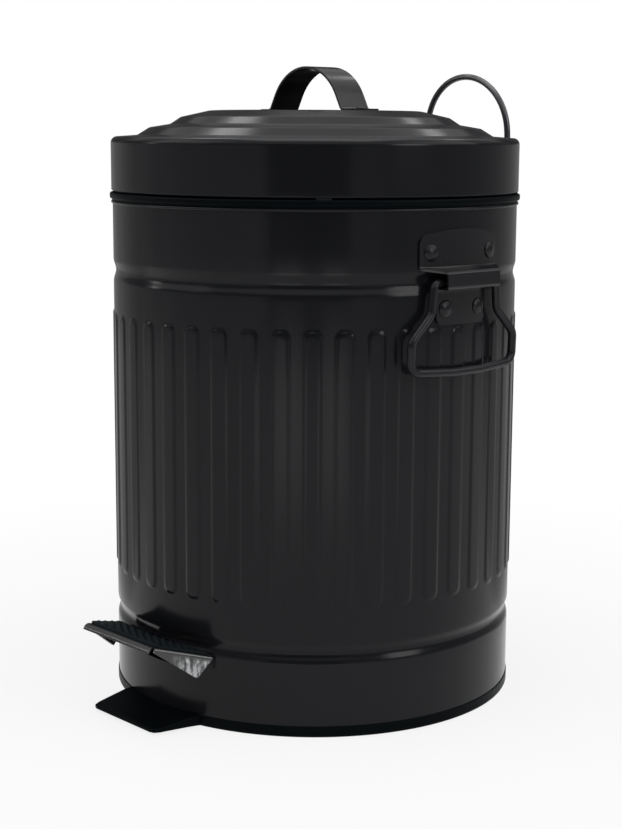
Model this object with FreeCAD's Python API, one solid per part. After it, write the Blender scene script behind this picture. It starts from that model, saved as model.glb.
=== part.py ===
import FreeCAD, Part
import math
import os

# A small round pedal bin in painted sheet steel. Millimetres and degrees.
# Z is up, the floor is Z = 0 and the origin is on the bin's own axis.
# The pedal is at -Y, the lid's hinge at +Y and the two side handles at +X and -X.

Vector = FreeCAD.Vector
os.makedirs("parts", exist_ok=True)

# Shared clearances and overruns
overrun = 5.0
sheet_gap = 0.1
part_gap = 0.3
running_gap = 0.06
point_gap = 0.001

# Base pan, moulded in black plastic, with the tongue under the pedal
base_radius = 100.4
base_height = 5.5
base_floor = 2.5
base_edge_radius = 1.2
base_inner_radius = 97.3
base_upstand = 14.0
tongue_reach = 119.0
tongue_half_width = 26.6
tongue_corner = 4.5
tongue_tip_height = 1.8
tongue_root_depth = 8.0
floor_rib_count = 12
floor_rib_thickness = 1.6
floor_rib_height = 3.0
floor_rib_inner_radius = 70.0
lever_rest_length = 5.0

# Body shell, a ribbed and beaded sheet steel tube
body_radius = 100.0
body_wall = 0.7
body_top = 243.6
body_roll_radius = 0.8
lower_groove_height = 36.5
lower_groove_width = 7.0
lower_groove_depth = 1.2
upper_groove_height = 212.5
upper_groove_width = 10.0
upper_groove_depth = 1.6
rib_count = 43
rib_first_angle = -42.65
rib_bottom = 61.0
rib_top = 190.0
rib_foot_width = 9.2
rib_crest_width = 6.4
rib_rise = 0.9

# Collar, the moulded ring that closes the body's top edge and carries the bucket
collar_shoulder_radius = 100.3
collar_lip_radius = 101.4
collar_lip_bottom = 245.3
collar_lip_top = 248.2
collar_lip_round = 0.9
collar_neck_radius = 98.3
collar_top = 255.0
collar_wall = 2.0
collar_flange = 2.5
collar_bore_radius = 91.5
collar_skirt_bottom = 232.0
collar_notch_half_width = 11.0
collar_notch_bottom = 236.0
buffer_angles = (40.0, 140.0, 220.0, 320.0)
buffer_width = 7.0
buffer_depth = 1.5

# Lid, a stepped dome with a straight skirt
lid_radius = 100.6
lid_bottom = 249.5
lid_wall = 0.8
lid_hem_depth = 3.0
lid_hem_round = 0.7
lid_shoulder_radius = 3.2
lid_edge_height = 274.9
lid_first_foot_radius = 87.6
lid_first_foot_height = 275.8
lid_first_crest_radius = 81.6
lid_first_crest_height = 279.5
lid_second_foot_radius = 71.4
lid_second_foot_height = 281.2
lid_second_crest_radius = 66.2
lid_second_crest_height = 284.6
lid_top_radius = 52.0
lid_top_height = 287.8
lid_step_round = 2.2
lid_top_round = 12.0
lid_open_angle = 75.0

# Strap handle on the lid
strap_width = 18.2
strap_thickness = 1.0
strap_foot_half_span = 25.9
strap_rise = 20.3
strap_leg_angle = 62.0
strap_foot_length = 8.4
strap_bend_radius = 2.2
strap_foot_corner = 2.0
strap_rivet_inset = 3.6
strap_rivet_head_radius = 2.6
strap_rivet_head_height = 1.1
strap_rivet_shank_radius = 1.4

# Lid hinge at the back, with the crank that the lift rod pushes
hinge_out = 112.0
hinge_rise = 2.8
hinge_tube_radius = 3.0
hinge_tube_bore_radius = 1.66
hinge_tube_half_length = 17.0
leaf_thickness = 1.2
leaf_half_width = 16.0
leaf_inset = 4.5
leaf_height = 16.0
leaf_corner = 3.0
leaf_rivet_spread = 11.5
leaf_rivet_inset = 5.5
cheek_outer_half = 8.2
cheek_eye_radius = 4.8
crank_length = 17.0
crank_start_angle = 37.5
crank_eye_radius = 3.0
crank_pin_radius = 1.5
crank_pin_tail = 0.8
crank_shelf_drop = 1.0
bracket_thickness = 1.2
bracket_half_width = 22.0
bracket_height = 22.4
bracket_edge_drop = 2.2
bracket_corner = 3.0
ear_outer_half = 12.9
ear_eye_radius = 5.4
ear_root_inset = 4.0
ear_neck_gap = 1.6
bracket_rivet_spread = 17.0
bracket_rivet_inset = 7.0

# Rear carrying bail, a wire arch pivoted in the hinge tube's ends
rear_bail_wire_radius = 1.6
rear_bail_half_width = 29.3
rear_bail_top = 305.6
rear_bail_lean = 0.064
rear_bail_end_half = 9.0
rear_bail_bend_radius = 4.5

# Side handles: a stamped plate with a channel, four rivets and a drop bail
plate_thickness = 1.0
upper_plate_half_width = 25.4
upper_plate_shoulder = 230.4
upper_plate_apex = 236.9
upper_plate_bow_radius = 85.0
upper_plate_corner = 4.0
upper_rivet_spread = 19.3
upper_rivet_height = 223.5
channel_front = 108.3
channel_half_width = 17.2
channel_bend_radius = 1.6
channel_top = 215.3
channel_bottom = 207.0
ledge_fall = 1.4
lower_plate_half_width = 16.0
lower_plate_bottom = 190.4
lower_plate_corner = 4.0
lower_rivet_spread = 10.8
lower_rivet_height = 198.0
handle_rivet_head_radius = 3.9
handle_rivet_head_height = 2.0
handle_rivet_shank_radius = 2.0
handle_rivet_tail_radius = 3.2
handle_rivet_tail_height = 0.8
bail_wire_radius = 2.0
bail_pivot_out = 102.6
bail_pivot_height = 210.3
bail_neck_half_width = 19.7
bail_knee_half_width = 22.0
bail_knee_height = 196.0
bail_elbow_half_width = 33.9
bail_elbow_height = 184.5
bail_low_height = 170.6
bail_low_sag = 3.0
bail_low_out = 101.6
bail_middle_out = 103.5
bail_top_bend = 3.2
bail_knee_bend = 6.0
bail_low_bend = 5.2
bail_bow_radius = 200.0

# Pedal: a flared plate with a rolled nose and two side flanges, and its rubber pad
pedal_slope = 15.7
pedal_edge_out = 121.3
pedal_edge_height = 42.7
pedal_thickness = 1.2
pedal_front_half_width = 26.2
pedal_rear_half_width = 36.2
pedal_length = 29.5
pedal_nose_radius = 2.8
pedal_nose_drop = 0.4
pedal_flange_depth = 12.0
pedal_flange_front_depth = 2.4
pedal_flange_back_lean = 5.0
pedal_flange_corner = 1.8
pedal_wall_gap = 1.4
pad_thickness = 1.2
pad_inset = 1.4
pad_front_inset = 0.6
pad_corner = 2.0
pad_rib_pitch = 4.1
pad_rib_angle = 34.3
pad_rib_width = 1.5
pad_rib_rise = 0.6
pad_rib_margin = 1.2
pedal_rivet_spread = 5.0
pedal_rivet_head_radius = 2.2
pedal_rivet_head_height = 0.9
pedal_rivet_shank_radius = 1.5
pedal_rivet_inset = 9.0

# Pedal lever, its bracket and pin, and the rod that lifts the lid
pivot_out = 52.0
pivot_height = 28.0
pivot_pin_radius = 2.0
pivot_pin_head_radius = 3.2
pivot_pin_head_length = 1.0
pivot_bracket_half_width = 11.6
pivot_bracket_length = 24.0
pivot_bracket_thickness = 1.4
pivot_eye_radius = 5.0
pivot_rivet_spread = 8.0
pivot_rivet_head_radius = 3.4
pivot_rivet_head_height = 1.6
pivot_rivet_shank_radius = 1.9
pivot_rivet_sink = 1.0
lever_half_width = 8.8
lever_thickness = 1.5
lever_depth = 7.0
lever_front_reach = 20.2
lever_rear_reach = 96.3
lever_rear_height = 13.5
lever_rise_over_pin = 3.6
lever_flange_start_out = 88.0
slot_half_width = 10.2
slot_bottom = 27.0
slot_top = 37.8
slot_corner = 1.5
rod_out = 94.5
rod_radius = 2.0
rod_head_half_width = 5.0
rod_head_front = 91.7
rod_head_back = 98.8
rod_head_thickness = 2.0
crank_play = 0.5
guide_bottom = 118.0
guide_height = 8.0
guide_half_width = 6.5
guide_wall = 2.0

# Inner bucket, moulded in black plastic, and its wire bail
bucket_bottom = 48.0
bucket_bottom_radius = 81.0
bucket_top_radius = 89.6
bucket_wall = 1.4
bucket_floor = 1.8
bucket_foot_round = 6.0
bucket_rim_radius = 94.5
bucket_rim_thickness = 2.0
bucket_notch_half_width = 13.0
bucket_notch_out = 91.0
bucket_boss_radius = 3.4
bucket_boss_inner = 84.0
bucket_boss_depth = 3.0
bucket_pivot_drop = 13.0
bucket_lug_half_width = 5.0
bucket_lug_height = 2.0
bucket_bail_wire_radius = 1.5
bucket_bail_radius = 79.0
bucket_bail_bend = 3.0
bucket_grip_radius = 3.2
bucket_grip_angle = 34.0


def sine(angle):
    return math.sin(math.radians(angle))


def cosine(angle):
    return math.cos(math.radians(angle))


def rounded_edges(corners, closed):
    """Edges through corners (point, radius): straight runs, and at each corner an arc of its radius."""
    count = len(corners)
    turns = []
    for i, (point, radius) in enumerate(corners):
        if radius == 0 or not (closed or 0 < i < count - 1):
            turns.append((point, None, point))
            continue
        back = (corners[i - 1][0] - point).normalize()
        ahead = (corners[(i + 1) % count][0] - point).normalize()
        half = back.getAngle(ahead) / 2
        reach = radius / math.tan(half)
        inward = (back + ahead).normalize() * (radius / math.sin(half) - radius)
        turns.append((point + back * reach, point + inward, point + ahead * reach))
    edges = []
    for i, (start, middle, end) in enumerate(turns):
        if middle:
            edges.append(Part.Arc(start, middle, end).toShape())
        if i == count - 1 and not closed:
            break
        following = turns[(i + 1) % count][0]
        if end.distanceToPoint(following) > point_gap:
            edges.append(Part.LineSegment(end, following).toShape())
    return edges


def face_of(corners, place):
    """Flat face inside corners (u, v, radius), with place turning u and v into a point."""
    points = [(place(u, v), radius) for u, v, radius in corners]
    return Part.Face(Part.Wire(rounded_edges(points, True)))


def turned(corners):
    """Solid of revolution about Z of a profile of corners (radius, height, rounding)."""
    profile = face_of(corners, lambda r, z: Vector(r, 0, z))
    return profile.revolve(Vector(0, 0, 0), Vector(0, 0, 1), 360)


def flat_plate(corners, bottom, top):
    """Plate of the outline (x, y, rounding) between two heights."""
    face = face_of(corners, lambda x, y: Vector(x, y, bottom))
    return face.extrude(Vector(0, 0, top - bottom))


def side_plate(corners, start, end):
    """Plate of the outline (y, z, rounding) between two places on X."""
    face = face_of(corners, lambda y, z: Vector(start, y, z))
    return face.extrude(Vector(end - start, 0, 0))


def block(low, high):
    """Box between two opposite corners."""
    size = [b - a for a, b in zip(low, high)]
    return Part.makeBox(size[0], size[1], size[2], Vector(*low))


def rod_between(start, end, radius):
    """Round bar from one point to another."""
    axis = end - start
    return Part.makeCylinder(radius, axis.Length, start, axis)


def tube(outer, inner, bottom, top):
    """Upright ring on the bin's axis."""
    outside = Part.makeCylinder(outer, top - bottom, Vector(0, 0, bottom))
    return outside.cut(Part.makeCylinder(inner, top - bottom, Vector(0, 0, bottom)))


def curved_patch(corners, inner, thickness):
    """Sheet that lies round the +X side, cut to the outline (y, z, rounding)."""
    heights = [v for u, v, radius in corners]
    prism = side_plate(corners, 0, inner + thickness + overrun)
    return prism.common(tube(inner + thickness, inner, min(heights) - overrun, max(heights) + overrun))


def bent_wire(corners, radius):
    """Round wire along corners (point, bend radius)."""
    path = Part.Wire(rounded_edges(corners, False))
    start = corners[0][0]
    circle = Part.makeCircle(radius, start, corners[1][0] - start)
    return path.makePipeShell([Part.Wire(circle)], True, False)


def placed(shape, origin, axis):
    """Copy with its +Z turned to axis and its origin moved to a point."""
    copy = shape.copy()
    copy.Placement = FreeCAD.Placement(origin,
                                       FreeCAD.Rotation(Vector(0, 0, 1), axis)).multiply(copy.Placement)
    return copy


def spun(shape, angle):
    """Copy turned about the bin's axis."""
    copy = shape.copy()
    copy.rotate(Vector(0, 0, 0), Vector(0, 0, 1), angle)
    return copy


def rivet(head_radius, head_height, shank_radius, grip, tail_radius, tail_height):
    """Domed rivet: the head's seat is at Z = 0, the shank runs down through the grip."""
    ball = (head_radius ** 2 + head_height ** 2) / (2 * head_height)
    half = math.asin(head_radius / ball) / 2
    crown = Vector(ball * math.sin(half), 0, head_height - ball + ball * math.cos(half))
    points = [Vector(0, 0, head_height), Vector(head_radius, 0, 0), Vector(shank_radius, 0, 0),
              Vector(shank_radius, 0, -grip)]
    points += [Vector(tail_radius, 0, -grip), Vector(tail_radius, 0, -grip - tail_height),
               Vector(0, 0, -grip - tail_height)]
    edges = [Part.Arc(points[0], crown, points[1]).toShape()]
    edges += [Part.LineSegment(a, b).toShape() for a, b in zip(points[1:], points[2:] + points[:1])]
    return Part.Face(Part.Wire(edges)).revolve(Vector(0, 0, 0), Vector(0, 0, 1), 360)


def on_wall(radius, across):
    """Distance from the bin's mid plane of a point on an upright cylinder, at a distance across."""
    return math.sqrt(radius ** 2 - across ** 2)


def wall_rivets(shape, places, seat_radius, side_angle):
    """Rivets square to the round wall, at places (across, height) about the middle of one side."""
    rivets = []
    for across, height in places:
        angle = side_angle + math.degrees(math.asin(across / seat_radius))
        rivets.append(spun(placed(shape, Vector(seat_radius, 0, height), Vector(1, 0, 0)), angle))
    return rivets


def wall_holes(radius, places, seat_radius, side_angle):
    """Cutters for the holes of wall_rivets."""
    pin = Part.makeCylinder(radius, 3 * overrun, Vector(0, 0, -2 * overrun))
    return wall_rivets(pin, places, seat_radius, side_angle)


def save(name, *solids):
    """Writes one sub-part, made of one solid or of several like ones."""
    shape = solids[0] if len(solids) == 1 else Part.makeCompound(list(solids))
    shape.exportStep("parts/" + name + ".step")


# Sizes that follow from the ones above
body_inner = body_radius - body_wall
plate_inner = body_radius + sheet_gap
plate_outer = plate_inner + plate_thickness
lid_inner = lid_radius - lid_wall
leaf_inner = lid_radius + sheet_gap
leaf_outer = leaf_inner + leaf_thickness
bracket_outer = plate_inner + bracket_thickness
rivet_hole_radius = handle_rivet_shank_radius + running_gap
hinge_height = collar_lip_top + hinge_rise
leaf_bottom = lid_bottom + leaf_inset
leaf_top = leaf_bottom + leaf_height
leaf_rivet_height = leaf_top - leaf_rivet_inset
bracket_top = body_top - bracket_edge_drop
bracket_bottom = bracket_top - bracket_height
ear_root_bottom = bracket_bottom + ear_root_inset
bracket_rivet_height = bracket_bottom + bracket_rivet_inset
bucket_pivot_height = collar_top - bucket_pivot_drop
hinge_axis = Vector(0, hinge_out, hinge_height)
crank_rest = Vector(0, hinge_out - crank_length * cosine(crank_start_angle), hinge_height - crank_length *
                    sine(crank_start_angle))
lever_tilt = math.degrees(math.atan2(pivot_height + lever_rise_over_pin - lever_rear_height,
                                     pivot_out + lever_rear_reach))
rod_top = crank_rest.z - crank_pin_radius - crank_play


def lever_top(y):
    """Height of the inner lever's upper face at a place on Y."""
    return lever_rear_height + (lever_rear_reach - y) * math.tan(math.radians(lever_tilt))


# Base pan
def make_base_pan():
    floor = turned([(0, 0, 0), (base_radius, 0, base_edge_radius), (base_radius, base_height, 0),
                    (body_inner - part_gap, base_height, 0), (body_inner - part_gap, base_upstand, 0),
                    (base_inner_radius, base_upstand, 0), (base_inner_radius, base_floor, 0), (0, base_floor, 0)])
    root = math.sqrt(base_inner_radius ** 2 - tongue_half_width ** 2)
    plan = flat_plate([(-tongue_half_width, -tongue_reach, tongue_corner),
                       (tongue_half_width, -tongue_reach, tongue_corner),
                       (tongue_half_width, -root, 0), (-tongue_half_width, -root, 0)], 0, base_height)
    shelf = base_radius - tongue_root_depth
    wedge = side_plate([(-tongue_reach, 0, 0), (-tongue_reach, tongue_tip_height, tongue_tip_height / 2),
                        (-base_radius, base_height, 0), (-shelf, base_height, 0), (-shelf, 0, 0)],
                       -tongue_half_width, tongue_half_width)
    pan = floor.fuse(plan.common(wedge).cut(Part.makeCylinder(body_inner - part_gap, base_upstand)))
    rib = block((floor_rib_inner_radius, -floor_rib_thickness / 2, base_floor),
                (base_inner_radius + collar_wall / 2, floor_rib_thickness / 2, base_floor + floor_rib_height))
    step = 360 / floor_rib_count
    ribs = [spun(rib, step * (k + 0.5)) for k in range(floor_rib_count)]
    ribs.append(tube(floor_rib_inner_radius + floor_rib_thickness, floor_rib_inner_radius, base_floor,
                     base_floor + floor_rib_height))
    rest_drop = lever_rest_length * math.tan(math.radians(lever_tilt))
    rest_top = lever_top(rod_out - lever_rest_length) - lever_depth - part_gap - rest_drop
    ribs.append(block((-lever_half_width, rod_out - 2 * lever_rest_length, base_floor),
                      (lever_half_width, rod_out - lever_rest_length, rest_top)))
    pan = pan.fuse(ribs)
    for side in (-1, 1):
        seat = Vector(0, -pivot_out + side * pivot_rivet_spread, 0)
        pan = pan.cut(Part.makeCylinder(pivot_rivet_head_radius + part_gap, pivot_rivet_sink, seat))
        pan = pan.cut(Part.makeCylinder(pivot_rivet_shank_radius + running_gap, base_floor + overrun,
                                        seat))
    return pan.removeSplitter()


# Body shell
def groove(height, width, depth, radius):
    """Points of a bead pressed inwards: its lower edge, its deepest point and its upper edge."""
    return (Vector(radius, 0, height - width / 2), Vector(radius - depth, 0, height),
            Vector(radius, 0, height + width / 2))


def body_side(radius, bottom, top):
    """Upright line with the two grooves in it, from the bottom to the top."""
    lower = groove(lower_groove_height, lower_groove_width, lower_groove_depth, radius)
    upper = groove(upper_groove_height, upper_groove_width, upper_groove_depth, radius)
    stops = [Vector(radius, 0, bottom), lower, upper, Vector(radius, 0, top)]
    edges = [Part.LineSegment(stops[0], lower[0]), Part.Arc(*lower), Part.LineSegment(lower[2], upper[0])]
    edges += [Part.Arc(*upper), Part.LineSegment(upper[2], stops[3])]
    return edges


def make_rib():
    """One rib: a raised bar with sloping flanks and round ends, bowed to the body's curve."""
    def ring(out, spread):
        low = rib_bottom + (rib_foot_width - spread) / 2
        high = rib_top - (rib_foot_width - spread) / 2
        half = spread / 2
        foot = Part.Arc(Vector(out, -half, low + half), Vector(out, 0, low),
                        Vector(out, half, low + half))
        head = Part.Arc(Vector(out, half, high - half), Vector(out, 0, high),
                        Vector(out, -half, high - half))
        sides = [Part.LineSegment(foot.EndPoint, head.StartPoint),
                 Part.LineSegment(head.EndPoint, foot.StartPoint)]
        return Part.Wire([foot.toShape(), sides[0].toShape(), head.toShape(), sides[1].toShape()])
    slope = (rib_foot_width - rib_crest_width) / rib_rise
    sunk = ring(body_radius - body_wall / 2, rib_foot_width + slope * body_wall / 2)
    proud = ring(body_radius + 2 * rib_rise, rib_crest_width - slope * rib_rise)
    bar = Part.makeLoft([sunk, proud], True, True)
    crest = Part.makeCylinder(body_radius + rib_rise, rib_top - rib_bottom + 2 * overrun,
                              Vector(0, 0, rib_bottom - overrun))
    return bar.common(crest)


def make_body_shell():
    outer = body_side(body_radius, base_height, body_top - 2 * body_roll_radius)
    inner = body_side(body_inner, base_height, body_top)
    roll_low = Vector(body_radius, 0, body_top - 2 * body_roll_radius)
    roll_mid = Vector(body_radius + body_roll_radius, 0, body_top - body_roll_radius)
    roll_top = Vector(body_radius, 0, body_top)
    edges = outer + [Part.Arc(roll_low, roll_mid, roll_top),
                     Part.LineSegment(roll_top, Vector(body_inner, 0, body_top))]
    edges += inner + [Part.LineSegment(Vector(body_inner, 0, base_height),
                                       Vector(body_radius, 0, base_height))]
    wire = Part.Wire(Part.__sortEdges__([edge.toShape() for edge in edges]))
    shell = Part.Face(wire).revolve(Vector(0, 0, 0), Vector(0, 0, 1), 360)
    rib = make_rib()
    shell = shell.fuse([spun(rib, rib_first_angle + k * 360 / rib_count) for k in range(rib_count)])
    slot = lever_slot()
    notch = block((-collar_notch_half_width, body_inner - overrun, collar_notch_bottom),
                  (collar_notch_half_width, body_radius + overrun, body_top + overrun))
    cuts = [slot, notch]
    for angle in (0, 180):
        cuts += wall_holes(rivet_hole_radius, handle_rivet_places(), plate_outer, angle)
    cuts += wall_holes(rivet_hole_radius, pair(bracket_rivet_spread, bracket_rivet_height), bracket_outer,
                       90)
    return shell.cut(cuts)


def pair(spread, height):
    """Two places (across, height), one on each side of the middle."""
    return [(-spread, height), (spread, height)]


def lever_slot():
    """Cutter for the lever's slot in the front of the body."""
    corners = [(-slot_half_width, slot_bottom, slot_corner), (slot_half_width, slot_bottom, slot_corner),
               (slot_half_width, slot_top, slot_corner), (-slot_half_width, slot_top, slot_corner)]
    face = face_of(corners, lambda x, z: Vector(x, -body_radius - overrun, z))
    return face.extrude(Vector(0, 3 * overrun, 0))


# Collar ring and the lid's rubber buffers
def make_collar_ring():
    ring = turned([(body_inner - part_gap - collar_wall, collar_skirt_bottom, 0),
                   (body_inner - part_gap, collar_skirt_bottom, 0),
                   (body_inner - part_gap, body_top, 0), (collar_shoulder_radius, body_top, 0),
                   (collar_shoulder_radius, collar_lip_bottom, 0), (collar_lip_radius, collar_lip_bottom,
                                                                    collar_lip_round),
                   (collar_lip_radius, collar_lip_top, collar_lip_round), (collar_neck_radius,
                                                                           collar_lip_top, 0),
                   (collar_neck_radius, collar_top, collar_lip_round), (collar_bore_radius, collar_top,
                                                                        0),
                   (collar_bore_radius, collar_top - collar_flange, 0),
                   (collar_neck_radius - collar_wall, collar_top - collar_flange, 0),
                   (collar_neck_radius - collar_wall, collar_lip_bottom, 0),
                   (body_inner - part_gap - collar_wall, body_top, 0)])
    return ring.cut(block((-collar_notch_half_width, collar_bore_radius - 2 * overrun,
                           collar_notch_bottom),
                          (collar_notch_half_width, collar_lip_radius + overrun, collar_top + overrun)))


def make_buffers():
    middle = (collar_neck_radius + lid_radius) / 2
    ring = tube(middle + buffer_depth / 2, middle - buffer_depth / 2, collar_lip_top,
                lid_bottom - part_gap)
    bar = block((0, -buffer_width / 2, collar_lip_top), (lid_radius, buffer_width / 2, lid_bottom))
    return [ring.common(spun(bar, angle)) for angle in buffer_angles]


# Lid
def make_lid_shell():
    crown = [(lid_radius, lid_edge_height, lid_shoulder_radius, lid_shoulder_radius - lid_wall),
             (lid_first_foot_radius, lid_first_foot_height, lid_step_round, lid_step_round + lid_wall),
             (lid_first_crest_radius, lid_first_crest_height, lid_step_round + lid_wall, lid_step_round),
             (lid_second_foot_radius, lid_second_foot_height, lid_step_round, lid_step_round + lid_wall),
             (lid_second_crest_radius, lid_second_crest_height, lid_step_round + lid_wall,
              lid_step_round),
             (lid_top_radius, lid_top_height, lid_top_round, lid_top_round)]
    outer = [(r, z, outside) for r, z, outside, inside in crown]
    inner = []
    for i, (r, z, outside, inside) in enumerate(crown):
        before = crown[i - 1][:2] if i else (lid_radius, lid_bottom)
        after = crown[i + 1][:2] if i + 1 < len(crown) else (0, lid_top_height)
        inner.append(inset_corner(before, (r, z), after, lid_wall) + (inside,))
    skirt = [(0, lid_top_height - lid_wall, 0), (0, lid_top_height, 0)]
    hem = lid_radius - 2 * lid_wall
    foot = [(lid_radius, lid_bottom, lid_hem_round), (hem, lid_bottom, lid_hem_round),
            (hem, lid_bottom + lid_hem_depth, 0),
            (lid_inner, lid_bottom + lid_hem_depth, 0)]
    shell = turned(skirt + outer[::-1] + foot + inner)
    for side in (-1, 1):
        place = Vector(side * strap_rivet_x(), 0, lid_top_height - lid_wall - overrun)
        shell = shell.cut(Part.makeCylinder(strap_rivet_shank_radius + running_gap, 2 * overrun, place))
    return shell.cut(leaf_rivet_holes())


def leaf_rivet_holes():
    places = pair(leaf_rivet_spread, leaf_rivet_height)
    return wall_holes(strap_rivet_shank_radius + running_gap, places, leaf_outer, 90)


def inset_corner(before, corner, after, distance):
    """Corner of the line drawn a distance inside two runs that meet, for a profile that runs inwards."""
    runs = []
    for a, b in ((before, corner), (corner, after)):
        length = math.hypot(b[0] - a[0], b[1] - a[1])
        along = ((b[0] - a[0]) / length, (b[1] - a[1]) / length)
        runs.append((along, (a[0] - along[1] * distance, a[1] + along[0] * distance)))
    (d, p), (e, q) = runs
    cross = d[0] * e[1] - d[1] * e[0]
    t = ((q[0] - p[0]) * e[1] - (q[1] - p[1]) * e[0]) / cross
    return (p[0] + d[0] * t, p[1] + d[1] * t)


def strap_rivet_x():
    return strap_foot_half_span + strap_foot_length - strap_rivet_inset


def make_lid_handle():
    """Flat strap bent into an arch, with a flange each side that lies on the lid."""
    apex_angle = 90 - strap_leg_angle
    apex = strap_foot_half_span * math.tan(math.radians(strap_leg_angle))
    bow = (apex - strap_rise) / (1 / sine(apex_angle) - 1)
    base = lid_top_height + strap_thickness / 2
    end = strap_foot_half_span + strap_foot_length
    corners = [(Vector(-end, 0, base), 0), (Vector(-strap_foot_half_span, 0, base), strap_bend_radius),
               (Vector(0, 0, base + apex), bow), (Vector(strap_foot_half_span, 0, base),
                                                  strap_bend_radius),
               (Vector(end, 0, base), 0)]
    path = Part.Wire(rounded_edges(corners, False))
    section = [Vector(-end, side * strap_width / 2, base + level * strap_thickness / 2)
               for side, level in ((-1, -1), (1, -1), (1, 1), (-1, 1))]
    strap = path.makePipeShell([Part.makePolygon(section + section[:1])], True, False)
    plan = flat_plate([(-end, -strap_width / 2, strap_foot_corner),
                       (end, -strap_width / 2, strap_foot_corner),
                       (end, strap_width / 2, strap_foot_corner), (-end, strap_width / 2, strap_foot_corner)],
                      lid_top_height - overrun, lid_top_height + apex)
    strap = strap.common(plan)
    for side in (-1, 1):
        place = Vector(side * strap_rivet_x(), 0, lid_top_height - overrun)
        strap = strap.cut(Part.makeCylinder(strap_rivet_shank_radius + running_gap, 2 * overrun, place))
    return strap


def make_lid_handle_rivets():
    shape = rivet(strap_rivet_head_radius, strap_rivet_head_height, strap_rivet_shank_radius,
                  strap_thickness + lid_wall, strap_rivet_head_radius, strap_rivet_head_height / 2)
    seat = lid_top_height + strap_thickness
    return [placed(shape, Vector(side * strap_rivet_x(), 0, seat), Vector(0, 0, 1)) for side in (-1, 1)]


# Lid hinge
def back_patch(half_width, bottom, top, corner, inner, thickness):
    """Curved plate on the back of the bin."""
    patch = curved_patch([(-half_width, bottom, corner), (half_width, bottom, corner),
                          (half_width, top, corner), (-half_width, top, corner)], inner, thickness)
    return spun(patch, 90)


def make_lid_hinge_leaf():
    """Plate on the skirt with two cheeks: each has the hinge eye and ends in the crank's eye."""
    plate = back_patch(leaf_half_width, leaf_bottom, leaf_top, leaf_corner, leaf_inner, leaf_thickness)
    plate = plate.cut(leaf_rivet_holes())
    front = leaf_inner + leaf_thickness / 2
    shelf = collar_lip_top + crank_shelf_drop / 2
    corners = [(front, leaf_top - leaf_corner, 0),
               (leaf_outer + crank_eye_radius, leaf_top - leaf_corner, crank_eye_radius),
               (hinge_out + cheek_eye_radius, hinge_height + cheek_eye_radius, cheek_eye_radius),
               (hinge_out + cheek_eye_radius, hinge_height - cheek_eye_radius, cheek_eye_radius),
               (crank_rest.y + crank_eye_radius, crank_rest.z - crank_eye_radius, crank_eye_radius),
               (crank_rest.y - crank_eye_radius, crank_rest.z - crank_eye_radius, crank_eye_radius),
               (crank_rest.y - crank_eye_radius, crank_rest.z + crank_eye_radius, crank_eye_radius / 2),
               (front + crank_shelf_drop, shelf, crank_shelf_drop), (front + crank_shelf_drop / 2,
                                                                     leaf_bottom, 0),
               (front, leaf_bottom + leaf_corner, 0)]
    leaf = plate
    for side in (-1, 1):
        outer = side * cheek_outer_half
        leaf = leaf.fuse(side_plate(corners, outer, outer - side * leaf_thickness))
    reach = Vector(2 * cheek_outer_half, 0, 0)
    leaf = leaf.cut(rod_between(hinge_axis - reach, hinge_axis + reach, hinge_tube_radius + running_gap))
    return leaf.cut(rod_between(crank_rest - reach, crank_rest + reach, crank_pin_radius + running_gap /
                                2))


def make_crank_pin():
    """Pin across the cheeks that the lift rod pushes, with a swelled end on each side."""
    reach = Vector(cheek_outer_half, 0, 0)
    tail = Vector(crank_pin_tail, 0, 0)
    pin = rod_between(crank_rest - reach, crank_rest + reach, crank_pin_radius)
    for side in (-1, 1):
        pin = pin.fuse(rod_between(crank_rest + reach * side, crank_rest + (reach + tail) * side,
                                   crank_pin_radius + crank_pin_tail / 2))
    return pin


def make_hinge_bracket():
    """Plate riveted to the back of the body, with two ears that hold the hinge tube."""
    plate = back_patch(bracket_half_width, bracket_bottom, bracket_top, bracket_corner, plate_inner,
                       bracket_thickness)
    front = on_wall(plate_inner + bracket_thickness / 3, ear_outer_half)
    corners = [(front, ear_root_bottom, 0), (bracket_outer + ear_neck_gap, ear_root_bottom, ear_neck_gap),
               (hinge_out + ear_eye_radius, hinge_height - ear_eye_radius, ear_eye_radius),
               (hinge_out + ear_eye_radius, hinge_height + ear_eye_radius, ear_eye_radius),
               (hinge_out - ear_eye_radius, hinge_height + ear_eye_radius, ear_eye_radius),
               (hinge_out - ear_eye_radius, hinge_height, ear_neck_gap),
               (collar_lip_radius + ear_neck_gap, bracket_top, ear_neck_gap), (front, bracket_top - bracket_corner, 0)]
    bracket = plate
    for side in (-1, 1):
        outer = side * ear_outer_half
        bracket = bracket.fuse(side_plate(corners, outer, outer - side * bracket_thickness))
    bracket = bracket.cut(block((-collar_notch_half_width, body_inner, collar_notch_bottom),
                                (collar_notch_half_width, bracket_outer + part_gap, body_top)))
    bracket = bracket.cut(wall_holes(rivet_hole_radius, pair(bracket_rivet_spread, bracket_rivet_height),
                                     bracket_outer, 90))
    reach = Vector(2 * ear_outer_half, 0, 0)
    return bracket.cut(rod_between(hinge_axis - reach, hinge_axis + reach,
                                   hinge_tube_radius + running_gap / 2))


def make_hinge_tube():
    reach = Vector(hinge_tube_half_length, 0, 0)
    outside = rod_between(hinge_axis - reach, hinge_axis + reach, hinge_tube_radius)
    return outside.cut(rod_between(hinge_axis - reach, hinge_axis + reach, hinge_tube_bore_radius))


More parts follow.
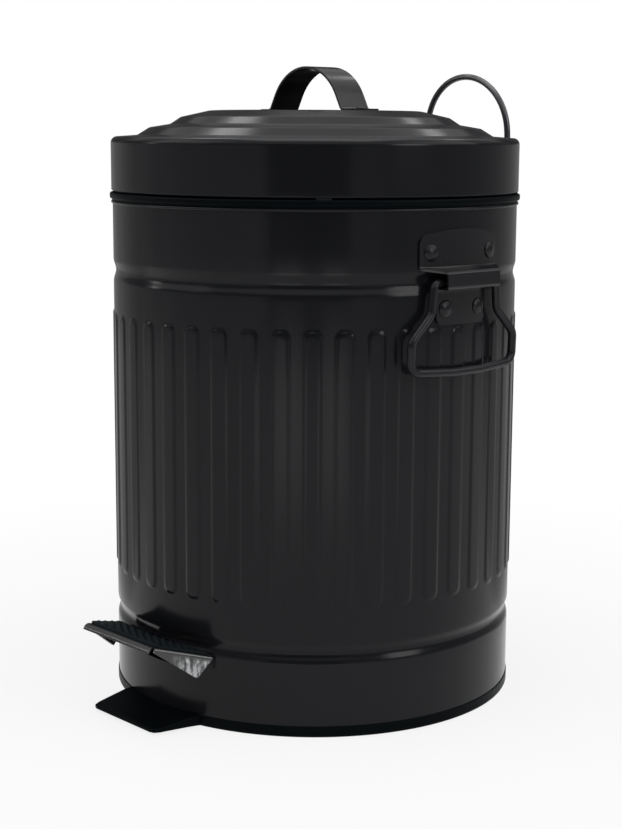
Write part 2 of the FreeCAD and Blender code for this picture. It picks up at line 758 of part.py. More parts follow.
def make_rear_bail():
    """Wire arch: two ends in the hinge tube, upright legs and a half-round top that leans to the lid."""
    def point(x, z):
        return Vector(x, hinge_out - rear_bail_lean * (z - hinge_height), z)
    corners = [(point(rear_bail_end_half, hinge_height), 0),
               (point(rear_bail_half_width, hinge_height), rear_bail_bend_radius),
               (point(rear_bail_half_width, rear_bail_top), rear_bail_half_width - point_gap),
               (point(-rear_bail_half_width, rear_bail_top), rear_bail_half_width - point_gap),
               (point(-rear_bail_half_width, hinge_height), rear_bail_bend_radius),
               (point(-rear_bail_end_half, hinge_height), 0)]
    return bent_wire(corners, rear_bail_wire_radius)


# Side handles
def handle_rivet_places():
    """Places across and up of the four rivets of one handle."""
    return pair(upper_rivet_spread, upper_rivet_height) + pair(lower_rivet_spread, lower_rivet_height)


def make_handle_bracket():
    """One stamping on the +X side: wide upper plate, a channel for the bail and a narrower lower plate."""
    ledge_root = channel_top + ledge_fall
    upper = curved_patch([(-upper_plate_half_width, ledge_root - plate_thickness, 0),
                          (upper_plate_half_width, ledge_root - plate_thickness, 0),
                          (upper_plate_half_width, upper_plate_shoulder, upper_plate_corner),
                          (0, upper_plate_apex, upper_plate_bow_radius),
                          (-upper_plate_half_width, upper_plate_shoulder, upper_plate_corner)],
                         plate_inner, plate_thickness)
    lower = curved_patch([(-lower_plate_half_width, lower_plate_bottom, lower_plate_corner),
                          (lower_plate_half_width, lower_plate_bottom, lower_plate_corner),
                          (lower_plate_half_width, channel_bottom + plate_thickness, 0),
                          (-lower_plate_half_width, channel_bottom + plate_thickness, 0)],
                         plate_inner, plate_thickness)
    back = on_wall(plate_inner, upper_plate_half_width)
    behind = channel_front - plate_thickness
    inner_bend = channel_bend_radius - plate_thickness
    profile = [(back, ledge_root, 0), (channel_front, channel_top, channel_bend_radius),
               (channel_front, channel_bottom, channel_bend_radius), (back, channel_bottom, 0),
               (back, channel_bottom + plate_thickness, 0),
               (behind, channel_bottom + plate_thickness, inner_bend),
               (behind, channel_top - plate_thickness, inner_bend), (back, ledge_root - plate_thickness, 0)]
    channel = face_of(profile, lambda x, z: Vector(x, -channel_half_width, z))
    channel = channel.extrude(Vector(0, 2 * channel_half_width, 0))
    ledge = face_of([(back, ledge_root, 0), (channel_front, channel_top, 0),
                     (channel_front, channel_top - plate_thickness, 0), (back, ledge_root - plate_thickness, 0)],
                    lambda x, z: Vector(x, -upper_plate_half_width, z))
    ledge = ledge.extrude(Vector(0, 2 * upper_plate_half_width, 0))
    wing_end = channel_front - channel_bend_radius
    wings = flat_plate([(back, -upper_plate_half_width, 0), (wing_end, -channel_half_width, 0),
                        (wing_end, channel_half_width, 0), (back, upper_plate_half_width, 0)],
                       channel_bottom, upper_plate_shoulder)
    drum = Part.makeCylinder(plate_inner, upper_plate_shoulder)
    bracket = channel.fuse(ledge.common(wings)).cut(drum).fuse([upper, lower])
    return bracket.cut(wall_holes(rivet_hole_radius, handle_rivet_places(), plate_outer, 0))


def make_handle_rivets():
    shape = rivet(handle_rivet_head_radius, handle_rivet_head_height, handle_rivet_shank_radius,
                  plate_thickness + body_wall + 2 * sheet_gap, handle_rivet_tail_radius, handle_rivet_tail_height)
    return wall_rivets(shape, handle_rivet_places(), plate_outer, 0)


def make_side_bail():
    """Drop bail of round wire: a bar in the channel, a neck, two flared sides and a bowed grip."""
    drop = bail_pivot_height - bail_low_height

    def out(height):
        return bail_pivot_out - (bail_pivot_out - bail_low_out) * (bail_pivot_height - height) / drop
    half = [(Vector(bail_pivot_out, bail_neck_half_width, bail_pivot_height), bail_top_bend),
            (Vector(out(bail_knee_height), bail_knee_half_width, bail_knee_height), bail_knee_bend),
            (Vector(out(bail_elbow_height), bail_elbow_half_width, bail_elbow_height), bail_knee_bend),
            (Vector(bail_low_out, bail_elbow_half_width, bail_low_height), bail_low_bend)]
    mirrored = [(Vector(p.x, -p.y, p.z), radius) for p, radius in half]
    middle = (Vector(2 * bail_middle_out - bail_low_out, 0, bail_low_height - bail_low_sag),
              bail_bow_radius)
    start = (Vector(bail_pivot_out, 0, bail_pivot_height), 0)
    return bent_wire([start] + half + [middle] + mirrored[::-1] + [start], bail_wire_radius)


# Pedal, its pad and rivets, all laid out flat and then tilted to the pedal's slope
def tilted(shape):
    """Moves a piece drawn flat, with Y inwards from the pedal's front edge, to the pedal's place."""
    copy = shape.copy()
    slope = FreeCAD.Placement(Vector(0, -pedal_edge_out, pedal_edge_height),
                              FreeCAD.Rotation(Vector(1, 0, 0), -pedal_slope))
    copy.Placement = slope.multiply(copy.Placement)
    return copy


def pedal_half_width(inward):
    return pedal_front_half_width + (pedal_rear_half_width -
                                     pedal_front_half_width) * inward / pedal_length


def make_pedal_plate():
    plan = [(-pedal_front_half_width, 0, 0), (pedal_front_half_width, 0, 0),
            (pedal_rear_half_width, pedal_length, 0),
            (-pedal_rear_half_width, pedal_length, 0)]
    plate = flat_plate(plan, -pedal_thickness, 0)
    centre = Vector(-pedal_front_half_width, 0, -pedal_nose_radius)
    nose = Part.makeCylinder(pedal_nose_radius, 2 * pedal_front_half_width, centre, Vector(1, 0, 0))
    nose = nose.cut(Part.makeCylinder(pedal_nose_radius - pedal_thickness, 2 * pedal_front_half_width,
                                      centre, Vector(1, 0, 0)))
    nose = nose.common(block((-pedal_front_half_width, -pedal_nose_radius, -pedal_nose_radius),
                             (pedal_front_half_width, 0, 0)))
    drop = block((-pedal_front_half_width, -pedal_nose_radius, -pedal_nose_radius - pedal_nose_drop),
                 (pedal_front_half_width, -pedal_nose_radius + pedal_thickness, -pedal_nose_radius))
    flare = math.atan2(pedal_rear_half_width - pedal_front_half_width, pedal_length)
    run = pedal_length / math.cos(flare)
    outline = [(0, -pedal_thickness, 0), (run, -pedal_thickness, 0),
               (run - pedal_flange_back_lean, -pedal_flange_depth, pedal_flange_corner),
               (0, -pedal_flange_front_depth, 0)]
    pieces = [nose, drop]
    for side in (-1, 1):
        along = Vector(side * math.sin(flare), math.cos(flare), 0)
        face = face_of(outline, lambda u, v: Vector(side * pedal_front_half_width, 0, v) + along * u)
        pieces.append(face.extrude(Vector(-side * math.cos(flare), math.sin(flare), 0) * pedal_thickness))
    plate = plate.fuse(pieces)
    for side in (-1, 1):
        seat = Vector(side * pedal_rivet_spread, pedal_rivet_inset, -pedal_thickness)
        plate = plate.cut(Part.makeCylinder(pedal_rivet_shank_radius + running_gap, pedal_thickness,
                                            seat))
    return tilted(plate).cut(wall_cutter(pedal_wall_gap))


def wall_cutter(gap):
    return Part.makeCylinder(body_radius + gap, body_top, Vector(0, 0, 0))


def pad_layer(margin, bottom, top):
    """Layer with the pad's outline, a margin in from its edges."""
    front = pad_front_inset + margin
    front_half = pedal_half_width(front) - pad_inset - margin
    rear_half = pedal_rear_half_width - pad_inset - margin
    plan = [(-front_half, front, pad_corner), (front_half, front, pad_corner),
            (rear_half, pedal_length, 0), (-rear_half, pedal_length, 0)]
    return flat_plate(plan, bottom, top)


def pad_ribs():
    """Slanting ribs on the pad's upper face."""
    top = pad_thickness + pad_rib_rise
    reach = pedal_length + pedal_rear_half_width
    rib = block((-reach, -pad_rib_width / 2, pad_thickness), (reach, pad_rib_width / 2, top))
    rib.rotate(Vector(0, 0, 0), Vector(0, 0, 1), -pad_rib_angle)
    before = math.ceil(reach * sine(pad_rib_angle) / pad_rib_pitch)
    ribs = []
    for k in range(-before, 2 * before):
        ribs.append(rib.translated(Vector(0, pad_rib_pitch * k, 0)))
    return pad_layer(pad_rib_margin, pad_thickness, top).common(Part.makeCompound(ribs))


def make_pedal_pad():
    """Rubber pad with slanting ribs, hollowed over the two rivet heads."""
    pad = pad_layer(0, 0, pad_thickness).fuse(pad_ribs().Solids)
    for side in (-1, 1):
        seat = Vector(side * pedal_rivet_spread, pedal_rivet_inset, 0)
        pad = pad.cut(Part.makeCylinder(pedal_rivet_head_radius + part_gap, pedal_rivet_head_height +
                                        part_gap / 2, seat))
    return tilted(pad).cut(wall_cutter(pedal_wall_gap + pad_inset))


def make_pedal_rivets():
    shape = rivet(pedal_rivet_head_radius, pedal_rivet_head_height, pedal_rivet_shank_radius,
                  pedal_thickness + lever_thickness, pedal_rivet_head_radius, pedal_rivet_head_height / 2)
    return [tilted(placed(shape, Vector(side * pedal_rivet_spread, pedal_rivet_inset, 0),
                          Vector(0, 0, 1))) for side in (-1, 1)]


# Pedal lever, bracket, pins and rod
def under_pedal(inward, depth):
    """Place on Y and Z of a point under the pedal's upper face."""
    return (-pedal_edge_out + inward * cosine(pedal_slope) - depth * sine(pedal_slope),
            pedal_edge_height - inward * sine(pedal_slope) - depth * cosine(pedal_slope))


def make_pedal_lever():
    """Channel lever: a tongue under the pedal, a strip through the slot and a channel to the back."""
    neck = -body_inner + lever_thickness
    tip = under_pedal(pedal_rivet_inset - pedal_rivet_head_radius - lever_thickness, pedal_thickness)
    wall = under_pedal(lever_front_reach + lever_thickness, pedal_thickness)
    flange = -lever_flange_start_out
    upper = [tip, wall, (flange, lever_top(flange)), (lever_rear_reach, lever_rear_height)]
    under_tip = under_pedal(pedal_rivet_inset - pedal_rivet_head_radius - lever_thickness,
                            pedal_thickness + lever_thickness)
    under_wall = under_pedal(lever_front_reach + lever_thickness, pedal_thickness + lever_thickness)
    lower = [(lever_rear_reach, lever_rear_height - lever_thickness),
             (flange, lever_top(flange) - lever_thickness), under_wall, under_tip]
    strip = side_plate([(y, z, 0) for y, z in upper + lower], -lever_half_width, lever_half_width)
    web = [(flange, lever_top(flange), 0), (lever_rear_reach, lever_rear_height, 0),
           (lever_rear_reach, lever_rear_height - lever_depth, lever_depth / 3),
           (flange + lever_depth, lever_top(flange + lever_depth) - lever_depth, lever_depth / 2)]
    lever = strip
    for side in (-1, 1):
        outer = side * lever_half_width
        lever = lever.fuse(side_plate(web, outer, outer - side * lever_thickness))
    pivot = Vector(0, -pivot_out, pivot_height)
    reach = Vector(2 * lever_half_width, 0, 0)
    lever = lever.cut(rod_between(pivot - reach, pivot + reach, pivot_pin_radius + running_gap))
    for side in (-1, 1):
        seat = Vector(side * pedal_rivet_spread, pedal_rivet_inset, -overrun)
        lever = lever.cut(tilted(Part.makeCylinder(pedal_rivet_shank_radius + running_gap, overrun,
                                                   seat)))
    return lever


def make_pivot_bracket():
    """U bracket on the base's floor that holds the lever's pin."""
    half = pivot_bracket_length / 2
    base = block((-pivot_bracket_half_width, -pivot_out - half, base_floor),
                 (pivot_bracket_half_width, -pivot_out + half, base_floor + pivot_bracket_thickness))
    ear = [(-pivot_out - half, base_floor, 0), (-pivot_out + half, base_floor, 0),
           (-pivot_out + pivot_eye_radius, pivot_height + pivot_eye_radius, pivot_eye_radius),
           (-pivot_out - pivot_eye_radius, pivot_height + pivot_eye_radius, pivot_eye_radius)]
    bracket = base
    for side in (-1, 1):
        outer = side * pivot_bracket_half_width
        bracket = bracket.fuse(side_plate(ear, outer, outer - side * pivot_bracket_thickness))
        seat = Vector(0, -pivot_out + side * pivot_rivet_spread, 0)
        bracket = bracket.cut(Part.makeCylinder(pivot_rivet_shank_radius + running_gap,
                                                base_floor + overrun, seat))
    pivot = Vector(0, -pivot_out, pivot_height)
    reach = Vector(2 * pivot_bracket_half_width, 0, 0)
    return bracket.cut(rod_between(pivot - reach, pivot + reach, pivot_pin_radius + running_gap / 2))


def make_pivot_pin():
    pivot = Vector(0, -pivot_out, pivot_height)
    reach = Vector(pivot_bracket_half_width, 0, 0)
    head = Vector(pivot_pin_head_length, 0, 0)
    pin = rod_between(pivot - reach, pivot + reach, pivot_pin_radius)
    for side in (-1, 1):
        pin = pin.fuse(rod_between(pivot + reach * side, pivot + (reach + head) * side,
                                   pivot_pin_head_radius))
    return pin


def make_pivot_rivets():
    grip = base_floor + pivot_bracket_thickness - pivot_rivet_sink
    shape = rivet(pivot_rivet_head_radius, pivot_rivet_head_height, pivot_rivet_shank_radius, grip,
                  pivot_rivet_head_radius, pivot_rivet_sink - part_gap)
    seat = base_floor + pivot_bracket_thickness
    return [placed(shape, Vector(0, -pivot_out + side * pivot_rivet_spread, seat),
                   Vector(0, 0, 1)) for side in (-1, 1)]


def make_lift_rod():
    """Upright rod from the lever's end to the crank, with a flat head that the crank's pin rides on."""
    bottom = lever_top(rod_out - rod_radius) + part_gap
    rod = rod_between(Vector(0, rod_out, bottom), Vector(0, rod_out, rod_top - rod_head_thickness / 2),
                      rod_radius)
    head = flat_plate([(-rod_head_half_width, rod_head_front, rod_head_thickness),
                       (rod_head_half_width, rod_head_front, rod_head_thickness),
                       (rod_head_half_width, rod_head_back, rod_head_thickness),
                       (-rod_head_half_width, rod_head_back, rod_head_thickness)],
                      rod_top - rod_head_thickness, rod_top)
    return rod.fuse(head)


def make_rod_guide():
    """Clip on the inside of the back wall that keeps the rod upright."""
    front = rod_out - rod_radius - guide_wall
    guide = block((-guide_half_width, front, guide_bottom),
                  (guide_half_width, body_radius, guide_bottom + guide_height))
    guide = guide.common(Part.makeCylinder(body_inner - sheet_gap, body_top))
    bore = rod_between(Vector(0, rod_out, guide_bottom - overrun),
                       Vector(0, rod_out, guide_bottom + guide_height + overrun),
                       rod_radius + running_gap)
    return guide.cut(bore)


# Inner bucket and its bail
def bucket_outer(height):
    share = (height - bucket_bottom) / (collar_top - bucket_bottom)
    return bucket_bottom_radius + (bucket_top_radius - bucket_bottom_radius) * share


def make_inner_bucket():
    rim_top = collar_top + bucket_rim_thickness
    inner_foot = bucket_foot_round - bucket_wall
    bucket = turned([(0, bucket_bottom, 0), (bucket_bottom_radius, bucket_bottom, bucket_foot_round),
                     (bucket_top_radius, collar_top, 0),
                     (bucket_rim_radius, collar_top, 0), (bucket_rim_radius, rim_top,
                                                          bucket_rim_thickness / 2),
                     (bucket_top_radius - bucket_wall, rim_top, bucket_rim_thickness / 2),
                     (bucket_bottom_radius - bucket_wall, bucket_bottom + bucket_floor, inner_foot),
                     (0, bucket_bottom + bucket_floor, 0)])
    notch = block((-bucket_notch_half_width, bucket_notch_out, collar_top - overrun),
                  (bucket_notch_half_width, bucket_rim_radius + overrun, rim_top + overrun))
    bucket = bucket.cut(notch)
    wall = bucket_outer(bucket_pivot_height) - bucket_wall / 2
    for side in (-1, 1):
        tip = Vector(side * bucket_boss_inner, 0, bucket_pivot_height)
        bucket = bucket.fuse(rod_between(tip, Vector(side * wall, 0, bucket_pivot_height),
                                         bucket_boss_radius))
        bucket = bucket.cut(rod_between(tip, tip + Vector(side * bucket_boss_depth, 0, 0),
                                        bucket_bail_wire_radius + running_gap))
    top = bucket_pivot_height - bucket_grip_radius - part_gap
    front = bucket_bail_radius + bucket_bail_bend - 2 * bucket_bail_wire_radius
    lug = block((-bucket_lug_half_width, -wall, top - bucket_lug_height),
                (bucket_lug_half_width, -front, top))
    return bucket.fuse(lug)


def bail_path():
    """Edges of the bucket's bail: an end in each boss, a small bend and a half circle round the front."""
    level = bucket_pivot_height
    end = bucket_boss_inner + bucket_boss_depth - part_gap
    corner = bucket_bail_radius + bucket_bail_bend
    turn = bucket_bail_bend * (1 - cosine(45))
    edges = []
    for side in (1, -1):
        bend = Part.Arc(Vector(side * corner, 0, level),
                        Vector(side * (bucket_bail_radius + turn), -turn, level),
                        Vector(side * bucket_bail_radius, -bucket_bail_bend, level))
        run = Part.LineSegment(Vector(side * end, 0, level), Vector(side * corner, 0, level))
        edges.append([run.toShape(), bend.toShape()])
    bow = Part.Arc(Vector(bucket_bail_radius, -bucket_bail_bend, level),
                   Vector(0, -bucket_bail_bend - bucket_bail_radius, level),
                   Vector(-bucket_bail_radius, -bucket_bail_bend, level))
    return edges[0] + [bow.toShape()] + edges[1][::-1], end


def make_bucket_bail():
    edges, end = bail_path()
    path = Part.Wire(Part.__sortEdges__(edges))
    circle = Part.makeCircle(bucket_bail_wire_radius, Vector(end, 0, bucket_pivot_height),
                             Vector(-1, 0, 0))
    return path.makePipeShell([Part.Wire(circle)], True, False)


def make_bucket_grip():
    """Plastic tube on the middle of the bail."""
    half = bucket_grip_angle / 2
    centre = Vector(0, -bucket_bail_bend, bucket_pivot_height)
    start = centre + Vector(bucket_bail_radius * sine(half), -bucket_bail_radius * cosine(half), 0)
    across = Vector(cosine(half), sine(half), 0)
    bore = bucket_bail_wire_radius + sheet_gap / 2
    rings = [Part.Wire(Part.makeCircle(radius, start, across)) for radius in (bucket_grip_radius, bore)]
    face = Part.Face(rings)
    return face.revolve(centre, Vector(0, 0, -1), bucket_grip_angle)


save("base_pan", make_base_pan())
save("body_shell", make_body_shell())
save("collar_ring", make_collar_ring())
save("lid_buffers", *make_buffers())
save("lid_shell", make_lid_shell())
save("lid_handle", make_lid_handle())
save("lid_handle_rivets", *make_lid_handle_rivets())
save("lid_hinge_leaf", make_lid_hinge_leaf())
leaf_rivet = rivet(strap_rivet_head_radius, strap_rivet_head_height, strap_rivet_shank_radius,
                   leaf_thickness + lid_wall + 2 * sheet_gap, strap_rivet_head_radius, strap_rivet_head_height / 2)
save("lid_hinge_rivets", *wall_rivets(leaf_rivet, pair(leaf_rivet_spread, leaf_rivet_height), leaf_outer,
                                      90))
save("crank_pin", make_crank_pin())
save("hinge_bracket", make_hinge_bracket())
bracket_rivet = rivet(handle_rivet_head_radius, handle_rivet_head_height, handle_rivet_shank_radius,
                      bracket_thickness + body_wall + 2 * sheet_gap, handle_rivet_tail_radius, handle_rivet_tail_height)
save("hinge_bracket_rivets", *wall_rivets(bracket_rivet, pair(bracket_rivet_spread, bracket_rivet_height),
                                          bracket_outer, 90))
save("hinge_tube", make_hinge_tube())
save("rear_bail", make_rear_bail())
for name, angle in (("right", 0), ("left", 180)):
    save(name + "_handle_bracket", spun(make_handle_bracket(), angle))
    save(name + "_handle_rivets", *[spun(shape, angle) for shape in make_handle_rivets()])
    save(name + "_bail", spun(make_side_bail(), angle))
save("pedal_plate", make_pedal_plate())
save("pedal_pad", make_pedal_pad())
save("pedal_rivets", *make_pedal_rivets())
save("pedal_lever", make_pedal_lever())
save("pivot_bracket", make_pivot_bracket())
save("pivot_bracket_rivets", *make_pivot_rivets())
save("pivot_pin", make_pivot_pin())
save("lift_rod", make_lift_rod())
save("rod_guide", make_rod_guide())
save("inner_bucket", make_inner_bucket())
save("bucket_bail", make_bucket_bail())
save("bucket_grip", make_bucket_grip())
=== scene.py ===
"""Dresses a small enamelled pedal bin: each visible piece as a surface with its finish."""

import math

import bmesh
import bpy
import numpy as np
from bpy.props import FloatProperty, FloatVectorProperty, IntProperty, PointerProperty
from bpy.types import Operator, Panel, PropertyGroup
from mathutils import Matrix, Vector


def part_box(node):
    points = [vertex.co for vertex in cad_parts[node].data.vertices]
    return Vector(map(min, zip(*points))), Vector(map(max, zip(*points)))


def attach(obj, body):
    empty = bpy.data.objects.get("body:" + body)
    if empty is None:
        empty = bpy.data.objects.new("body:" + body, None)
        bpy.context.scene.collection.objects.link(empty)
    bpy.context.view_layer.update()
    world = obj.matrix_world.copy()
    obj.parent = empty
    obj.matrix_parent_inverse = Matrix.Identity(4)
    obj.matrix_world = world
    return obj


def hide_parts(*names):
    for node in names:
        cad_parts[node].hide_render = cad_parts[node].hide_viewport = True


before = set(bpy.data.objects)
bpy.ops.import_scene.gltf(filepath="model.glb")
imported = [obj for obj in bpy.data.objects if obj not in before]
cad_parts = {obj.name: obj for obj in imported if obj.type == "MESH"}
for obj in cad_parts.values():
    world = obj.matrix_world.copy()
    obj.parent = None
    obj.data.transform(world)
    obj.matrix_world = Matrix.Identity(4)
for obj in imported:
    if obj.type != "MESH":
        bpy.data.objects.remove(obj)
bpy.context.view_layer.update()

bl_info = {
    "name": "Pedal bin",
    "version": (1, 0, 0),
    "blender": (4, 5, 0),
    "location": "3D View > Sidebar > Pedal bin",
    "description": "Builds the surfaces and finishes of a small enamelled pedal bin",
    "category": "Object",
}

MM = 0.001
# The wires' middle lines keep this gap where their two halves meet
SEAM = 0.001 * MM
# Points of a line that are closer than this are one
SAME_POINT = 2e-6


# Sizes and colours that a user would change

def length(name, description, millimetres):
    """A length, kept in metres."""
    return FloatProperty(name=name, description=description, default=millimetres * MM, precision=5,
                         subtype="DISTANCE", unit="LENGTH")


def turn(name, description, degrees):
    """An angle, kept in radians."""
    return FloatProperty(name=name, description=description, default=math.radians(degrees),
                         subtype="ANGLE", unit="ROTATION")


def share(name, description, value):
    """A number from 0 to 1."""
    return FloatProperty(name=name, description=description, default=value, min=0.0, max=1.0,
                         subtype="FACTOR")


def amount(name, description, value, least):
    """A whole number."""
    return IntProperty(name=name, description=description, default=value, min=least)


def level(name, description, value):
    """A strength of light."""
    return FloatProperty(name=name, description=description, default=value, min=0.0)


def colour(name, description, value):
    """A linear colour."""
    return FloatVectorProperty(name=name, description=description, default=value, min=0.0, max=1.0,
                               size=3, subtype="COLOR")


class BodySizes(PropertyGroup):
    radius: length("Radius", "Outside radius of the body between its ribs", 100.0)
    wall: length("Wall", "Thickness of the body's sheet", 0.7)
    bottom: length("Bottom", "Height of the body's lower edge", 5.5)
    top: length("Top", "Height of the body's upper edge", 243.6)
    roll: length("Top roll", "Radius of the small roll along the upper edge", 0.8)
    low_groove: length("Lower groove", "Height of the lower groove's middle", 40.0)
    low_groove_width: length("Lower groove width", "Width of the lower groove", 10.5)
    low_groove_depth: length("Lower groove depth", "Depth of the lower groove", 1.5)
    high_groove: length("Upper groove", "Height of the upper groove's middle", 209.6)
    high_groove_width: length("Upper groove width", "Width of the upper groove", 11.4)
    high_groove_depth: length("Upper groove depth", "Depth of the upper groove", 1.2)
    rib_count: amount("Ribs", "Number of upright ribs round the body", 43, 3)
    rib_start: turn("First rib", "Direction of the first rib", -42.65)
    rib_bottom: length("Rib bottom", "Height of the ribs' lower ends", 61.0)
    rib_top: length("Rib top", "Height of the ribs' upper ends", 190.0)
    rib_foot: length("Rib foot", "Width of a rib where it leaves the wall", 9.2)
    rib_crest: length("Rib crest", "Width of a rib's flat top", 6.2)
    rib_rise: length("Rib rise", "How far a rib stands out", 0.55)
    slot_half: length("Slot half width", "Half the width of the lever's slot", 10.2)
    slot_bottom: length("Slot bottom", "Height of the slot's lower edge", 27.0)
    slot_top: length("Slot top", "Height of the slot's upper edge", 37.8)
    slot_margin: length("Slot margin", "Distance from the slot to the points below it", 0.8)
    notch_half: length("Notch half width", "Half the width of the notch for the lid's crank", 11.0)
    notch_bottom: length("Notch bottom", "Height of the notch's lower edge", 236.0)


class BaseSizes(PropertyGroup):
    radius: length("Radius", "Outside radius of the base pan", 100.4)
    height: length("Height", "Height of the base pan's shoulder", 5.5)
    floor: length("Floor", "Thickness of the pan's floor", 2.5)
    edge: length("Edge rounding", "Rounding of the pan's lower edge", 1.2)
    corner: length("Corner", "Rounding of the pan's upper edges and of the floor's ribs", 0.35)
    fit_gap: length("Fit gap", "Gap between the pan's rim and the body's wall", 0.3)
    upstand: length("Upstand", "Height of the rim inside the body", 14.0)
    upstand_inner: length("Upstand inner radius", "Inner radius of the rim inside the body", 97.3)
    tongue_reach: length("Tongue reach",
                         "How far the tongue under the pedal reaches from the middle", 121.5)
    tongue_half: length("Tongue half width", "Half the width of the tongue at its tip", 24.4)
    tongue_flare: length("Tongue flare", "How much wider each side of the tongue is at the base",
                         2.6)
    tongue_corner: length("Tongue corner", "Rounding of the tongue's corners in plan", 3.0)
    tongue_tip: length("Tongue tip", "Thickness of the tongue at its tip", 1.5)
    tongue_lift: length("Tongue lift", "Height of the tongue's underside at its tip", 1.4)
    tongue_root: length("Tongue root", "How far the tongue reaches in under the pan's edge", 6.0)
    rib_count: amount("Floor ribs", "Number of stiffening ribs on the floor", 12, 1)
    rib_inner: length("Floor rib ring", "Inner radius of the ring that joins the floor's ribs",
                      70.0)
    rib_height: length("Floor rib height", "Height of the floor's ribs", 3.0)
    rib_thickness: length("Floor rib thickness", "Thickness of the floor's ribs", 1.6)
    stop_half: length("Stop half width", "Half the width of the stop under the lever's end", 8.8)
    stop_inner: length("Stop inner end", "Distance of the stop's inner end from the middle", 84.5)
    stop_outer: length("Stop outer end", "Distance of the stop's outer end from the middle", 89.5)
    stop_gap: length("Stop gap", "Gap between the stop and the lever", 0.3)


class CollarSizes(PropertyGroup):
    shoulder: length("Shoulder radius", "Radius of the collar where it covers the body's edge",
                     100.3)
    lip: length("Lip radius", "Radius of the collar's lip", 101.4)
    lip_bottom: length("Lip bottom", "Height of the lip's lower edge", 244.4)
    lip_top: length("Lip top", "Height of the lip's upper edge", 247.4)
    lip_round: length("Lip rounding", "Rounding of the lip", 0.9)
    neck: length("Neck radius", "Radius of the neck inside the lid", 98.3)
    top: length("Top", "Height of the collar's upper face", 255.0)
    bore: length("Bore radius", "Inner radius of the flange that carries the bucket", 91.5)
    wall: length("Wall", "Thickness of the collar's wall", 2.0)
    flange: length("Flange", "Thickness of the collar's flange", 2.5)
    skirt: length("Skirt bottom", "Height of the skirt's lower edge inside the body", 232.0)
    fit_gap: length("Fit gap", "Gap between the skirt and the body's wall", 0.3)
    corner: length("Corner", "Rounding of the collar's and the buffers' edges", 0.3)
    neck_round: length("Neck rounding", "Rounding at the neck's foot and of the bore's edges", 0.6)
    flange_round: length("Flange rounding", "Rounding where the flange leaves the neck", 1.2)
    inner_round: length("Inner rounding", "Rounding of the inner side's bends", 1.0)
    buffer: length("Buffer", "Thickness of the buffers under the lid's edge", 1.5)
    buffer_half: length("Buffer half width", "Half the width of each buffer", 3.5)
    buffer_side: turn("Buffer direction", "Direction of the first buffer, from the right", 40.0)


class LidSizes(PropertyGroup):
    radius: length("Radius", "Outside radius of the lid's skirt", 100.6)
    bottom: length("Bottom", "Height of the lid's lower edge", 248.3)
    wall: length("Wall", "Thickness of the lid's sheet", 0.8)
    hem: length("Hem", "Height of the folded hem", 3.0)
    shoulder: length("Shoulder", "Rounding between skirt and crown", 3.2)
    edge: length("Edge height", "Height of the crown's outer edge", 274.1)
    first_foot: length("First step foot radius", "Radius of the first step's foot", 87.6)
    first_foot_height: length("First step foot height", "Height of the first step's foot", 275.0)
    first_crest: length("First step crest radius", "Radius of the first step's crest", 81.6)
    first_crest_height: length("First step crest height", "Height of the first step's crest", 278.7)
    second_foot: length("Second step foot radius", "Radius of the second step's foot", 71.4)
    second_foot_height: length("Second step foot height", "Height of the second step's foot", 280.4)
    second_crest: length("Second step crest radius", "Radius of the second step's crest", 66.2)
    second_crest_height: length("Second step crest height", "Height of the second step's crest",
                                283.8)
    top_radius: length("Top radius", "Radius at which the flat top begins", 52.0)
    top: length("Top", "Height of the flat top", 287.0)
    step_round: length("Step rounding", "Rounding of the steps", 2.2)
    top_round: length("Top rounding", "Rounding of the flat top's edge", 12.0)


class StrapSizes(PropertyGroup):
    width: length("Width", "Width of the strap handle", 18.2)
    thickness: length("Thickness", "Thickness of the strap", 1.0)
    foot: length("Foot half span", "Half the distance between the bends at the feet", 25.9)
    rise: length("Rise", "Height of the arch over the lid", 20.4)
    shift: FloatVectorProperty(name="Shift", default=(1.1 * MM, 1.1 * MM), size=2,
                               description="How far the strap stands off the lid's middle",
                               subtype="TRANSLATION", unit="LENGTH")
    lean: turn("Leg angle", "Angle between a leg and the lid", 62.0)
    foot_length: length("Foot length", "Length of each foot on the lid", 8.4)
    bend: length("Bend", "Radius of the bend at each foot", 2.2)
    corner: length("Corner", "Rounding of the feet's corners", 2.0)
    cut: length("Edge", "Rounding of the strap's cut edges", 0.25)
    rivet_inset: length("Rivet inset", "Distance of the rivets from the feet's ends", 3.6)


